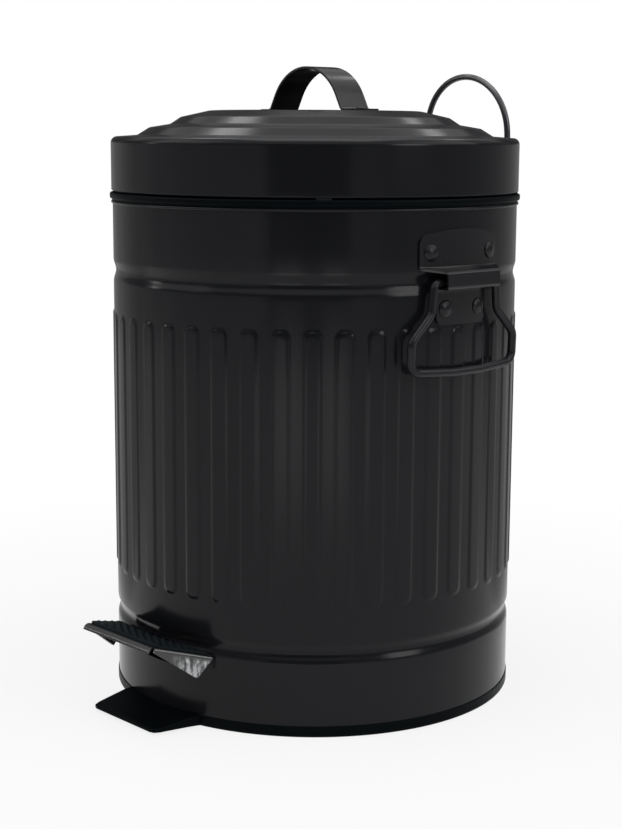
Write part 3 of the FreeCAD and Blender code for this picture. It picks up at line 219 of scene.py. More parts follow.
class HandleSizes(PropertyGroup):
    plate: length("Plate", "Thickness of the side handle's stamping", 1.0)
    gap: length("Gap", "Gap between the stamping and the body", 0.1)
    upper_half: length("Upper half width", "Half the width of the upper plate", 25.4)
    shoulder: length("Shoulder", "Height of the upper plate's corners", 230.4)
    apex: length("Apex", "Height at which the crown's two sides would meet", 236.9)
    bow: length("Crown bow", "Radius of the crown", 85.0)
    corner: length("Corner", "Rounding of the plate's corners", 4.0)
    front: length("Channel front", "Distance of the channel's front from the bin's middle", 108.3)
    channel_half: length("Channel half width", "Half the width of the channel's front", 17.2)
    channel_top: length("Channel top", "Height of the channel's upper ledge", 215.3)
    channel_bottom: length("Channel bottom", "Height of the channel's lower ledge", 207.0)
    ledge_fall: length("Ledge fall", "How far the upper ledge falls from the wall to the front",
                       1.4)
    channel_bend: length("Channel bend", "Outer radius of the channel's bends", 1.6)
    root_bend: length("Root bend", "Radius where the ledges leave the plates", 0.8)
    lower_half: length("Lower half width", "Half the width of the lower plate", 16.0)
    lower_bottom: length("Lower bottom", "Height of the lower plate's edge", 190.4)
    cut: length("Edge", "Rounding of the stamping's cut edges", 0.22)
    rivet_rise: length("Rivet rise", "Height of the rivets' heads", 1.5)
    upper_rivet: length("Upper rivets", "Distance across of the upper rivets", 19.3)
    upper_rivet_height: length("Upper rivet height", "Height of the upper rivets", 223.5)
    lower_rivet: length("Lower rivets", "Distance across of the lower rivets", 10.8)
    lower_rivet_height: length("Lower rivet height", "Height of the lower rivets", 198.0)


class BailSizes(PropertyGroup):
    wire: length("Side wire", "Radius of the side bails' wire", 2.0)
    pivot_out: length("Pivot out", "Distance of the side bails' axis from the middle", 102.6)
    pivot_height: length("Pivot height", "Height of the side bails' axis", 210.3)
    neck: length("Neck", "Half the width at the side bail's neck", 20.4)
    neck_bend: length("Neck bend", "Radius of the bends below the pivots", 3.2)
    knee: length("Knee", "Half the width at the knee", 22.0)
    knee_height: length("Knee height", "Height of the knee", 196.0)
    knee_bend: length("Knee bend", "Radius of the bends at the knees and the elbows", 6.0)
    elbow: length("Elbow", "Half the width at the elbow", 33.9)
    elbow_height: length("Elbow height", "Height of the elbow", 184.5)
    low: length("Low bar", "Height of the lower bar's ends", 170.6)
    sag: length("Sag", "How far the lower bar bows down", 3.0)
    low_bend: length("Low bend", "Radius of the bends at the lower bar's ends", 5.2)
    low_bow: length("Low bow", "Radius of the lower bar's bow", 200.0)
    low_out: length("Low out", "Distance of the lower bar's ends from the middle", 101.6)
    middle_out: length("Middle out", "Distance of the lower bar's middle from the bin's middle",
                       103.5)
    rear_wire: length("Rear wire", "Radius of the rear bail's wire", 1.6)
    rear_half: length("Rear half width", "Half the width of the rear bail", 28.8)
    rear_top: length("Rear top", "Height of the rear bail's top", 306.1)
    rear_end: length("Rear end", "Distance across of the rear bail's ends in the tube", 9.0)
    rear_bend: length("Rear bend", "Radius of the bends at the rear bail's feet", 4.5)
    rear_lean: share("Rear lean", "How far the rear bail leans in for each unit of height", 0.064)


class HingeSizes(PropertyGroup):
    out: length("Axis out", "Distance of the lid's hinge axis from the middle", 112.0)
    height: length("Axis height", "Height of the lid's hinge axis", 251.0)
    tube: length("Tube", "Outer radius of the hinge tube", 3.0)
    bore: length("Bore", "Inner radius of the hinge tube", 1.66)
    tube_half: length("Tube half length", "Half the length of the hinge tube", 17.0)
    tube_edge: length("Tube edge", "Rounding of the tube's edges", 0.3)
    sheet: length("Sheet", "Thickness of the hinge's sheet", 1.2)
    gap: length("Gap", "Gap between the hinge's sheet and the lid or the body", 0.1)
    cut: length("Edge", "Rounding of the sheet's cut edges", 0.22)
    leaf_half: length("Leaf half width", "Half the width of the leaf on the lid", 16.0)
    leaf_bottom: length("Leaf bottom", "Height of the leaf's lower edge", 254.0)
    leaf_top: length("Leaf top", "Height of the leaf's upper edge", 270.0)
    leaf_rivet: length("Leaf rivets", "Distance across of the leaf's rivets", 11.5)
    leaf_rivet_height: length("Leaf rivet height", "Height of the leaf's rivets", 264.5)
    cheek_half: length("Cheek half width", "Half the width over the leaf's cheeks", 8.2)
    eye: length("Cheek eye", "Outer radius of the cheek round the hinge's axis", 4.8)
    root: length("Cheek root", "Rounding where the cheek leaves the leaf", 1.0)
    shelf_gap: length("Shelf gap", "Gap between the cheek and the collar's lip", 0.5)
    plate_half: length("Plate half width", "Half the width of the plate on the body", 22.0)
    plate_bottom: length("Plate bottom", "Height of the plate's lower edge", 219.0)
    plate_top: length("Plate top", "Height of the plate's upper edge", 241.4)
    plate_rivet: length("Plate rivets", "Distance across of the plate's rivets", 17.0)
    plate_rivet_height: length("Plate rivet height", "Height of the plate's rivets", 226.0)
    ear_half: length("Ear half width", "Half the width over the plate's ears", 12.9)
    ear: length("Ear", "Outer radius of the ear round the hinge's axis", 5.4)
    ear_foot: length("Ear foot", "Height of the ear's lower end", 223.0)
    ear_neck: length("Ear neck", "Rounding of the ear's inner corners", 1.6)
    ear_root: length("Ear root", "How far from the body's wall the ear begins", 0.5)
    corner: length("Corner", "Rounding of the plates' corners", 3.0)
    crank: length("Crank", "Distance of the crank's pin from the hinge axis", 17.0)
    crank_eye: length("Crank eye", "Outer radius of the cheek round the crank's pin", 3.0)
    crank_angle: turn("Crank angle", "How far the crank hangs below the hinge axis", 37.5)


class RivetSizes(PropertyGroup):
    small_head: length("Small head", "Radius of the heads on the strap and the hinge's leaf", 2.6)
    small_rise: length("Small rise", "Height of the small heads", 1.1)
    small_shank: length("Small shank", "Radius of the small rivets' shanks", 1.4)
    large_head: length("Large head", "Radius of the heads on the side handles and the plate", 3.9)
    large_rise: length("Large rise", "Height of the heads on the hinge's plate", 2.0)
    large_shank: length("Large shank", "Radius of the large rivets' shanks", 2.0)
    large_tail: length("Large tail", "Radius of the large rivets' tails", 3.2)
    large_tail_rise: length("Large tail height", "Height of the large rivets' tails", 0.8)
    pedal_head: length("Pedal head", "Radius of the heads on the pedal", 2.2)
    pedal_rise: length("Pedal rise", "Height of the heads on the pedal", 0.9)
    pedal_shank: length("Pedal shank", "Radius of the pedal rivets' shanks", 1.5)


class PedalSizes(PropertyGroup):
    slope: turn("Slope", "How far the pedal slopes down towards the body", 15.7)
    edge_out: length("Edge out", "Distance of the pedal's front edge from the middle", 121.9)
    edge_height: length("Edge height", "Height of the pedal's front edge", 43.5)
    sheet: length("Sheet", "Thickness of the pedal's sheet", 1.2)
    cut: length("Edge", "Rounding of the sheet's cut edges", 0.3)
    front_half: length("Front half width", "Half the pedal's width in front", 27.0)
    rear_half: length("Rear half width", "Half the pedal's width at the back", 36.2)
    depth: length("Depth", "Length over which the pedal widens", 29.5)
    nose: length("Nose", "Radius of the rolled nose", 2.8)
    nose_drop: length("Nose drop", "Straight part below the nose's roll", 0.4)
    side_bend: length("Side bend", "Radius of the bends along the sides", 1.5)
    flange_front: length("Flange in front", "Depth of the side flanges in front", 2.6)
    flange_back: length("Flange at the back", "Depth of the side flanges at the back", 12.0)
    flange_lean: length("Flange lean",
                        "How far the flanges' back ends lean forward at their lower corners", 5.0)
    flange_splay: turn("Flange splay", "How far the flanges lean out", -11.0)
    flange_corner: length("Flange corner", "Rounding of the flanges' lower back corners", 3.4)
    flange_end: share("Flange end", "Share of the depth at which the flanges end", 0.985)
    crease: length("Crease", "Depth of the creases across the flanges", 0.09)
    crease_pitch: length("Crease pitch", "Distance between the creases across the flanges", 2.7)
    wall_gap: length("Wall gap", "Gap between the pedal and the body", 1.4)
    rivet_in: length("Rivets in", "Distance of the rivets from the front edge", 9.0)
    rivet_out: length("Rivets across", "Distance across of the rivets", 5.0)
    rivet_grip: length("Rivet grip", "Thickness that the rivets hold together", 2.7)
    pad: length("Pad", "Thickness of the rubber pad", 1.2)
    pad_inset: length("Pad inset", "Distance of the pad from the pedal's sides", 1.4)
    pad_front: length("Pad front", "Distance of the pad from the pedal's front", 0.6)
    pad_corner: length("Pad corner", "Rounding of the pad's front corners", 2.0)
    pad_end: share("Pad end", "Share of the depth at which the pad ends", 0.96)
    pad_roll: length("Pad edge", "Rounding of the pad's upper edge", 0.5)
    pad_gap: length("Pad gap", "Gap between the pad and the sheet", 0.02)
    rib_rise: length("Rib rise", "Height of the pad's ribs", 0.6)
    rib_inset: length("Rib inset", "Distance of the ribs' ends from the pad's edge", 1.2)
    rib_fade: length("Rib fade", "Length over which a rib's end rises", 0.8)
    rib_along: length("Rib pitch inwards", "Distance between the pad's ribs, measured inwards", 4.1)
    rib_across: length("Rib pitch across", "Distance between the pad's ribs, measured across", 6.0)


class BucketSizes(PropertyGroup):
    bottom: length("Bottom", "Height of the bucket's underside", 48.0)
    foot: length("Foot radius", "Radius of the bucket's foot", 81.0)
    mouth: length("Mouth radius", "Outer radius of the bucket's wall at the top", 89.6)
    wall: length("Wall", "Thickness of the bucket's wall", 1.4)
    floor: length("Floor", "Thickness of the bucket's floor", 1.8)
    foot_round: length("Foot rounding", "Rounding of the bucket's foot", 6.0)
    rim: length("Rim radius", "Radius of the bucket's rim", 94.5)
    rim_bottom: length("Rim bottom", "Height of the rim's underside", 255.0)
    rim_thickness: length("Rim thickness", "Thickness of the rim", 2.0)
    rim_root: length("Rim root", "Rounding where the rim leaves the wall", 0.8)
    corner: length("Corner", "Rounding of the rim's and the bosses' edges", 0.5)
    notch_half: length("Notch half width",
                       "Half the width of the rim's notch for the lid's crank", 13.0)
    notch_out: length("Notch out", "Distance of the notch's flat from the middle", 91.0)
    pivot: length("Pivot height", "Height of the bail's pivots", 242.0)
    boss: length("Boss", "Radius of the bosses that hold the bail", 3.4)
    boss_tip: length("Boss tip", "Distance of the bosses' tips from the middle", 84.0)
    lug_half: length("Lug half width", "Half the width of the lug under the grip", 5.0)
    lug_height: length("Lug height", "Height of the lug", 2.0)
    lug_gap: length("Lug gap", "Gap between the lug and the grip", 0.3)
    wire: length("Wire", "Radius of the bucket bail's wire", 1.5)
    wire_end: length("Wire end", "Distance of the wire's ends from the middle", 86.7)
    bow: length("Bow", "Radius of the bucket bail", 79.0)
    bend: length("Bend", "Radius of the bends at the bail's ends", 3.0)
    grip: length("Grip", "Radius of the grip on the bail", 3.2)
    grip_arc: turn("Grip arc", "Part of the bail that the grip covers", 34.0)


class Finishes(PropertyGroup):
    enamel: colour("Enamel", "Black enamel of the body, the lid and the handles",
                   (0.0088, 0.0091, 0.0108))
    enamel_gloss: share("Enamel roughness", "Roughness of the enamel", 0.17)
    wire: colour("Wire enamel", "Black enamel of the wires", (0.011, 0.0112, 0.0135))
    wire_gloss: share("Wire roughness", "Roughness of the wires' enamel", 0.24)
    plastic: colour("Plastic", "Black plastic of the base and the collar", (0.0018, 0.0031, 0.0039))
    rubber: colour("Rubber", "Rubber of the pedal's pad", (0.0052, 0.0082, 0.0102))
    bucket: colour("Bucket", "Plastic of the inner bucket", (0.018, 0.019, 0.021))
    steel: colour("Steel", "Bare zinc-plated steel", (0.56, 0.57, 0.58))


class StageSettings(PropertyGroup):
    lens: FloatProperty(name="Lens", description="Focal length on a 36 mm long side",
                        default=72.34, unit="CAMERA")
    distance: length("Distance", "Level distance of the camera from the bin's middle", 835.9)
    eye: length("Eye height", "Height of the camera", 277.7)
    azimuth: turn("Azimuth", "Direction of the camera round the bin, from the pedal's side", 47.7)
    pitch: turn("Pitch", "How far the camera looks down", 9.69)
    yaw: turn("Yaw", "How far the camera looks aside", -0.092)
    roll: turn("Roll", "How far the camera leans", 0.292)
    side_glow: level("Side cards", "Brightness of the cards at both sides", 0.3)
    upper_glow: level("Card tops", "Brightness of the upper part of the side cards", 0.14)
    back_glow: level("Back card", "Brightness of the card behind the bin", 0.075)
    dark_glow: level("Dark card", "Brightness of the card behind the camera", 0.012)
    floor_glow: level("Floor glow",
                      "Brightness of the two pale patches in front that the body mirrors", 2.2)
    floor_shade: level("Floor shade",
                       "Brightness of the grey cards that the body's edges mirror", 0.45)
    top_light: level("Top lamp", "Power of the soft lamp overhead, in watts", 8.0)
    side_light: level("Side lamps", "Power of each soft lamp at the side, in watts", 2.4)
    spark: level("Small lamps", "Brightness of the small lamps that make the highlights", 4.2)
    sky: level("Sky", "Brightness of the surroundings for diffuse light", 0.55)


GROUPS = {"bin_body": BodySizes, "bin_base": BaseSizes, "bin_collar": CollarSizes,
          "bin_lid": LidSizes, "bin_strap": StrapSizes, "bin_handle": HandleSizes,
          "bin_bail": BailSizes, "bin_hinge": HingeSizes, "bin_rivet": RivetSizes,
          "bin_pedal": PedalSizes, "bin_bucket": BucketSizes, "bin_finish": Finishes,
          "bin_stage": StageSettings}


# Surfaces

def unit(vectors):
    """Vectors divided by their lengths."""
    return vectors / np.linalg.norm(vectors, axis=-1, keepdims=True)


def rounded_line(corners, closed=False, step=9.0, hold=0.35 * MM):
    """Points of a line through corners (point, rounding). A rounded corner is an arc that touches
    both runs: its two end radii are mixed by sin((1 - t) a) / sin a and sin(t a) / sin a, with a
    the arc's turn. A long straight run gets a point a short hold from each end, which keeps its
    shading flat."""
    points = [np.asarray(point, float) for point, radius in corners]
    count = len(points)
    bends = []
    for i, (point, radius) in enumerate(zip(points, [radius for point, radius in corners])):
        if radius <= 0 or not (closed or 0 < i < count - 1):
            bends.append(point[None])
            continue
        back = unit(points[i - 1] - point)
        ahead = unit(points[(i + 1) % count] - point)
        half = math.acos(max(-1.0, min(1.0, float(back @ ahead)))) / 2
        bend = math.pi - 2 * half
        middle = point + unit(back + ahead) * radius / math.sin(half)
        reach = radius / math.tan(half)
        start, end = point + back * reach - middle, point + ahead * reach - middle
        t = np.linspace(0, 1, max(2, math.ceil(math.degrees(bend) / step)) + 1)[:, None]
        arc = np.sin((1 - t) * bend) * start + np.sin(t * bend) * end
        bends.append(middle + arc / math.sin(bend))
    line = []
    for i, bend in enumerate(bends):
        line.append(bend)
        run = bends[(i + 1) % count][0] - bend[-1]
        size = float(np.linalg.norm(run))
        if (closed or i < count - 1) and hold > 0 and size > 8 * hold:
            line.append(bend[-1] + np.outer((hold / size, 1 - hold / size), run))
    line = np.concatenate(line)
    fresh = np.r_[True, np.linalg.norm(np.diff(line, axis=0), axis=1) > SAME_POINT]
    return line[fresh]


def grid_faces(rows, columns, wrap_rows=False, wrap_columns=False):
    """Corner numbers of the quads of a grid of points, joined round where it wraps."""
    i, j = np.meshgrid(np.arange(rows - (not wrap_rows)), np.arange(columns - (not wrap_columns)),
                       indexing="ij")
    k, m = (i + 1) % rows, (j + 1) % columns
    quads = np.stack([i * columns + j, i * columns + m, k * columns + m, k * columns + j], -1)
    return quads.reshape(-1, 4)


def turned(outline, angles=None, columns=240):
    """Closed outline (radius, height) carried round Z: x = r cos a, y = r sin a. An open turn gets
    end faces."""
    whole = angles is None
    if whole:
        angles = np.arange(columns) * 2 * math.pi / columns
    r, z = outline[:, 0], outline[:, 1]
    points = np.stack([np.outer(np.cos(angles), r), np.outer(np.sin(angles), r),
                       np.tile(z, (len(angles), 1))], -1)
    faces = grid_faces(len(angles), len(outline), whole, True).tolist()
    if not whole:
        last = len(outline) * (len(angles) - 1)
        faces += [list(range(len(outline))), list(range(last, last + len(outline)))]
    return points.reshape(-1, 3), faces


def swept(line, radius, across, sides=24):
    """Round bar along a line: each ring is radius (cos a, sin a) on two vectors square to the line,
    the first being the across vector squared to it. Each end is a flat half ball: ring radius cos
    b, moved on by sin b / 3."""
    ahead = unit(np.gradient(line, axis=0))
    first = unit(across - (ahead @ across)[:, None] * ahead)
    second = np.cross(ahead, first)
    b = np.linspace(0, math.pi / 2, 5)[1:]
    size = np.r_[np.cos(b[::-1]), np.ones(len(line)), np.cos(b)]
    shift = np.r_[-np.sin(b[::-1]), np.zeros(len(line)), np.sin(b)] * radius / 3
    pick = np.r_[np.zeros(len(b), int), np.arange(len(line)), np.full(len(b), len(line) - 1)]
    middle = line[pick] + ahead[pick] * shift[:, None]
    a = (np.arange(sides) * 2 * math.pi / sides)[None, :, None]
    ring = np.cos(a) * first[pick][:, None] + np.sin(a) * second[pick][:, None]
    points = middle[:, None] + ring * (radius * size)[:, None, None]
    return points.reshape(-1, 3), grid_faces(len(pick), sides, False, True).tolist()


def two_skins(outer, inner, keep=None, wrap=False):
    """Closed sheet between two grids of points. Only the kept quads are made, and each edge that
    only one of them has gets a quad across to the other skin."""
    rows, columns = outer.shape[:2]
    quads = grid_faces(rows, columns, False, wrap)
    if keep is not None:
        quads = quads[keep.reshape(-1)]
    count = rows * columns
    start, end = quads.reshape(-1), np.roll(quads, -1, axis=1).reshape(-1)
    single = ~np.isin(start * count + end, end * count + start)
    start, end = start[single], end[single]
    rim = np.stack([end, start, start + count, end + count], -1)
    faces = np.concatenate([quads, quads[:, ::-1] + count, rim])
    return np.concatenate([outer.reshape(-1, 3), inner.reshape(-1, 3)]), faces.tolist()


def sheet(outer, thickness, keep=None):
    """Closed sheet under a grid of points, each pushed by the thickness along (row direction x
    column direction), the normal of the surface there."""
    normal = unit(np.cross(np.gradient(outer, axis=0), np.gradient(outer, axis=1)))
    return two_skins(outer, outer + normal * thickness, keep)


def prism(outline, along):
    """Flat closed outline pushed along a vector, with both ends closed."""
    count = len(outline)
    faces = grid_faces(2, count, False, True).tolist()
    faces += [list(range(count)), list(range(count, 2 * count))]
    return np.concatenate([outline, outline + np.asarray(along)]), faces


def bar(low, high):
    """Box between two corners, as a prism."""
    (a, b, c), (d, e, f) = low, high
    return prism(np.array([(a, b, c), (d, b, c), (d, e, c), (a, e, c)], float), (0, 0, f - c))


def moved(skin, origin=(0, 0, 0), axis=None, angle=0.0):
    """A skin with its +Z laid on an axis, then moved to an origin, then turned about Z by an
    angle."""
    points, faces = skin
    if axis is not None:
        turn_to = Vector((0, 0, 1)).rotation_difference(Vector(axis))
        points = points @ np.array(turn_to.to_matrix()).T
    points = points + np.asarray(origin, float)
    c, s = math.cos(angle), math.sin(angle)
    return points @ np.array([[c, s, 0], [-s, c, 0], [0, 0, 1]]), faces


def rivet(head, rise, shank, grip, tail, tail_height):
    """Domed rivet about Z with the head's seat at Z = 0. The dome is the part of a ball that is as
    wide as the head and rises over a short straight rim; the shank and the tail follow below."""
    rim = rise * 0.18
    dome = rise - rim
    ball = (head ** 2 + dome ** 2) / (2 * dome)
    a = np.linspace(0, math.asin(head / ball), 10)
    crown = np.stack([ball * np.sin(a), rise - ball + ball * np.cos(a)], -1)
    rest = [(head, rim * 0.3), (head * 0.96, 0), (shank, 0), (shank, -grip), (tail, -grip),
            (tail * 0.9, -grip - tail_height), (0, -grip - tail_height)]
    return turned(np.concatenate([crown, np.array(rest)]), columns=40)


def small_rivet(r, grip):
    """Rivet of the strap and the hinge's leaf that holds a grip together."""
    return rivet(r.small_head, r.small_rise, r.small_shank, grip, r.small_head, r.small_rise / 2)


def large_rivet(r, rise, grip):
    """Rivet of the side handles and the hinge's plate that holds a grip together."""
    return rivet(r.large_head, rise, r.large_shank, grip, r.large_tail, r.large_tail_rise)


def on_wall(skin, places, seat, side=0.0):
    """Copies of a skin that stand square on an upright round wall at places (across, height): the
    wall's direction there is side + asin(across / seat)."""
    return [moved(skin, (seat, 0, height), (1, 0, 0), side + math.asin(across / seat))
            for across, height in places]


def turned_to(skin, angle):
    """A skin turned about Z."""
    return moved(skin, angle=angle)


def smooth(t):
    """Smoothstep of a number from 0 to 1: t^2 (3 - 2 t)."""
    return t * t * (3 - 2 * t)


def spread(count):
    """Numbers from -1 to 1 that lie closer together towards both ends: sin(t pi / 2)."""
    return np.sin(np.linspace(-0.5, 0.5, count) * math.pi)


def corner_rise(y, half, corner):
    """How far a rounded corner lifts an edge at a distance y across: corner - sqrt(corner^2 -
    over^2), with over the part of y past the corner's middle."""
    over = np.clip(np.abs(y) - (half - corner), 0, corner)
    return corner - np.sqrt(np.maximum(corner ** 2 - over ** 2, 0))


def wall_patch(half, bottom, top, corner, radius, thickness):
    """Sheet of rounded rectangle outline that lies round the +X side of an upright wall: y = t
    half, x = sqrt(radius^2 - y^2), z from the lower outline to the upper one."""
    y = spread(49)[None, :] * half
    t = np.linspace(0, 1, 13)[:, None]
    rise = corner_rise(y, half, corner)
    z = (bottom + rise) * (1 - t) + (top - rise) * t
    y = np.broadcast_to(y, z.shape)
    outer = np.stack([np.sqrt(radius ** 2 - y ** 2), y, z], -1)
    return sheet(outer, thickness)


# Pieces

def make_piece(name, skins, body, finish, replaces=(), edge=0.0, sharp=38.0):
    """One object at the origin from closed skins, each merged and faced outwards, with the finish
    of that name and its place in the frame. An edge width rounds the sharp edges with a Bevel."""
    whole = bmesh.new()
    for points, faces in skins:
        part = bpy.data.meshes.new("part")
        part.from_pydata(points.tolist(), [], faces)
        work = bmesh.new()
        work.from_mesh(part)
        bmesh.ops.remove_doubles(work, verts=work.verts, dist=2e-7)
        bmesh.ops.delete(work, geom=[v for v in work.verts if not v.link_faces], context="VERTS")
        bmesh.ops.recalc_face_normals(work, faces=work.faces)
        if work.calc_volume(signed=True) < 0:
            bmesh.ops.reverse_faces(work, faces=work.faces)
        work.to_mesh(part)
        work.free()
        whole.from_mesh(part)
        bpy.data.meshes.remove(part)
    mesh = bpy.data.meshes.new(name)
    whole.to_mesh(mesh)
    whole.free()
    mesh.shade_smooth()
    mesh.materials.append(finish_of(finish))
    piece = bpy.data.objects.new(name, mesh)
    bpy.context.scene.collection.objects.link(piece)
    if edge > 0:
        bevel = piece.modifiers.new("rounded_edges", "BEVEL")
        bevel.width = edge
        bevel.segments = 3
        bevel.limit_method = "ANGLE"
        bevel.angle_limit = math.radians(sharp)
        bevel.harden_normals = True
    else:
        mesh.set_sharp_from_angle(angle=math.radians(sharp))
    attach(piece, body)
    if replaces:
        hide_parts(*replaces)
    return piece


def finish_of(name):
    """A finish made by the finishes' operator."""
    found = bpy.data.materials.get(name)
    if found is None:
        raise RuntimeError(f"the finish {name} isn't made yet: run the finishes first")
    return found


# Finishes

class Number:
    """A socket of a shader, so that its sums and products can be written as Python expressions."""

    def __init__(self, shader, socket):
        self.shader, self.socket = shader, socket

    def math(self, operation, *values):
        return self.shader.node("ShaderNodeMath", {"operation": operation}, dict(enumerate(values)))

    def __add__(self, other):
        return self.math("ADD", self, other)

    __radd__ = __add__

    def __sub__(self, other):
        return self.math("SUBTRACT", self, other)

    def __rsub__(self, other):
        return self.math("SUBTRACT", other, self)

    def __mul__(self, other):
        return self.math("MULTIPLY", self, other)

    __rmul__ = __mul__

    def __pow__(self, other):
        return self.math("POWER", self, other)

    def most(self, other):
        return self.math("MAXIMUM", self, other)

    def step(self, low, high):
        """0 below low, 1 above high, and smooth between."""
        return self.shader.node("ShaderNodeMapRange", {"interpolation_type": "SMOOTHSTEP"},
                                {0: self, 1: low, 2: high, 3: 0.0, 4: 1.0})


class Shader:
    """The nodes of one material or world."""

    def __init__(self, owner):
        owner.use_nodes = True
        self.owner, self.tree = owner, owner.node_tree
        self.tree.nodes.clear()

    def node(self, kind, settings, sockets, output=0):
        """Adds a node: first its settings, then the values or links of its sockets. Gives one of
        its outputs."""
        made = self.tree.nodes.new(kind)
        for name, value in settings.items():
            setattr(made, name, value)
        for name, value in sockets.items():
            if isinstance(value, Number):
                self.tree.links.new(value.socket, made.inputs[name])
            else:
                made.inputs[name].default_value = value
        return Number(self, made.outputs[output]) if len(made.outputs) else None

    def place(self):
        return self.node("ShaderNodeTexCoord", {}, {}, "Object")

    def noise(self, scale, detail=2.0, roughness=0.5, stretch=None):
        """Noise from 0 to 1 with cells of 1 / scale metres, stretched by a factor for each axis."""
        vector = self.place()
        if stretch:
            vector = self.node("ShaderNodeVectorMath", {"operation": "MULTIPLY"},
                               {0: vector, 1: stretch})
        return self.node("ShaderNodeTexNoise", {}, {"Vector": vector, "Scale": scale,
                                                    "Detail": detail, "Roughness": roughness})

    def mixed(self, factor, first, second):
        """Colour between two colours."""
        return self.node("ShaderNodeMix", {"data_type": "RGBA"},
                         {0: factor, 6: first, 7: second}, 2)

    def bump(self, height, distance):
        return self.node("ShaderNodeBump", {},
                         {"Strength": 1.0, "Distance": distance, "Height": height}, "Normal")

    def surface(self, sockets):
        """Ends the shader in a Principled surface."""
        shine = self.node("ShaderNodeBsdfPrincipled", {}, sockets)
        self.node("ShaderNodeOutputMaterial", {}, {"Surface": shine})
        return self.owner


def new_shader(name):
    return Shader(bpy.data.materials.new(name))


def opaque(value, factor=1.0):
    """A colour with its alpha, made darker or lighter by a factor."""
    return (value[0] * factor, value[1] * factor, value[2] * factor, 1.0)


def paint(shader, tone):
    """The enamel's colour and the three noises that it follows: slow changes of tone, and the cells
    and the fine grain of its orange peel."""
    slow = shader.noise(16.0, 3.0)
    cells = shader.noise(400.0, 1.0)
    fine = shader.noise(1250.0, 2.0)
    tones = shader.mixed(slow * 0.6 + fine * 0.4, opaque(tone, 0.7), opaque(tone, 1.35))
    return tones, slow, cells, fine


def enamel(name, tone, gloss, peel=1.0, shine=0.16):
    """Stove enamel: slow changes of tone, an orange peel of cells 2.5 mm and 0.8 mm across, and
    gloss that varies a little with them."""
    shader = new_shader(name)
    tones, slow, cells, fine = paint(shader, tone)
    return shader.surface({
        "Base Color": tones,
        "Roughness": gloss - 0.03 + slow * 0.03 + fine * 0.03,
        "Specular IOR Level": shine,
        "Normal": shader.bump(cells * 0.75 + fine * 0.25, 0.012 * MM * peel)})


def glare_flange_enamel(name, tone, gloss, steel, pedal):
    """The pedal's enamel, with a painted highlight on its side flanges: creased bare metallic steel
    that stands in for the flanges' glare. The steel shows between streaks of noise. It comes in
    from 1.5 mm to 4 mm below the slope of the upper face, and from a fifth to a half of the depth
    inwards."""
    shader = new_shader(name)
    painted, slow, cells, fine = paint(shader, tone)
    crease = shader.noise(520.0, 4.0, 0.62, (1.0, 1.0, 0.3))
    y = shader.node("ShaderNodeSeparateXYZ", {}, {0: shader.place()}, "Y")
    z = shader.node("ShaderNodeSeparateXYZ", {}, {0: shader.place()}, "Z")
    inward = y + pedal.edge_out
    below = pedal.edge_height - math.tan(pedal.slope) * inward - z
    flange = below.step(1.5 * MM, 4.0 * MM) * inward.step(pedal.depth * 0.2, pedal.depth * 0.5)
    # Painted highlight: metallic steel streaks on the flanges stand in for their glare
    painted_glare = flange * crease.step(0.36, 0.62)
    return shader.surface({
        "Base Color": shader.mixed(painted_glare, painted, opaque(steel, 0.8)),
        "Metallic": painted_glare,
        "Roughness": gloss + slow * 0.03 + fine * 0.03 + painted_glare * 0.1,
        "Specular IOR Level": 0.8,
        "Normal": shader.bump(cells * 0.3 + fine * 0.1 + flange * crease, 0.22 * MM)})


def plastic(name, tone, gloss, grain, specular=0.3):
    """Moulded plastic: a fine spark-eroded grain with cells of 0.5 mm and slow flow marks."""
    shader = new_shader(name)
    flow = shader.noise(9.0, 3.0, 0.55, (1.0, 1.0, 2.5))
    fine = shader.noise(1900.0, 3.0, 0.6)
    return shader.surface({
        "Base Color": shader.mixed(flow * 0.7 + fine * 0.3, opaque(tone, 0.75), opaque(tone, 1.3)),
        "Roughness": gloss - 0.06 + flow * 0.08 + fine * 0.06,
        "Specular IOR Level": specular,
        "Normal": shader.bump(fine, grain)})


def rubber(name, tone):
    """Matt rubber: pale dust in the tone, a coarse and a fine grain."""
    shader = new_shader(name)
    coarse = shader.noise(260.0, 4.0, 0.6)
    fine = shader.noise(2300.0, 2.0)
    return shader.surface({
        "Base Color": shader.mixed(coarse, opaque(tone, 0.7), opaque(tone, 1.5)),
        "Roughness": 0.45 + coarse * 0.15,
        "Specular IOR Level": 0.07,
        "Normal": shader.bump(coarse * 0.4 + fine * 0.6, 0.06 * MM)})


def zinc(name, tone):
    """Zinc-plated steel: crystals of 3 mm with their own tone, and fine drawing lines."""
    shader = new_shader(name)
    crystals = shader.node("ShaderNodeTexVoronoi", {"feature": "F1"},
                           {"Vector": shader.place(), "Scale": 330.0}, "Distance")
    fine = shader.noise(1500.0, 3.0, 0.6, (1.0, 1.0, 0.15))
    return shader.surface({
        "Base Color": shader.mixed(crystals * 0.7 + fine * 0.3,
                                   opaque(tone, 0.72), opaque(tone, 1.1)),
        "Metallic": 1.0,
        "Roughness": 0.3 + crystals * 0.1 + fine * 0.12,
        "Normal": shader.bump(fine, 0.01 * MM)})


def white_for_eye(shader, strength):
    """Share of white in a floor or background that the eye, gloss and clear parts see as white, and
    diffuse light as its own. It is the greatest of the three kinds of ray, times a strength."""
    path = [shader.node("ShaderNodeLightPath", {}, {}, kind) for kind in
            ("Is Camera Ray", "Is Glossy Ray", "Is Transmission Ray")]
    seen = path[0].most(path[1]).most(path[2])
    return seen * strength


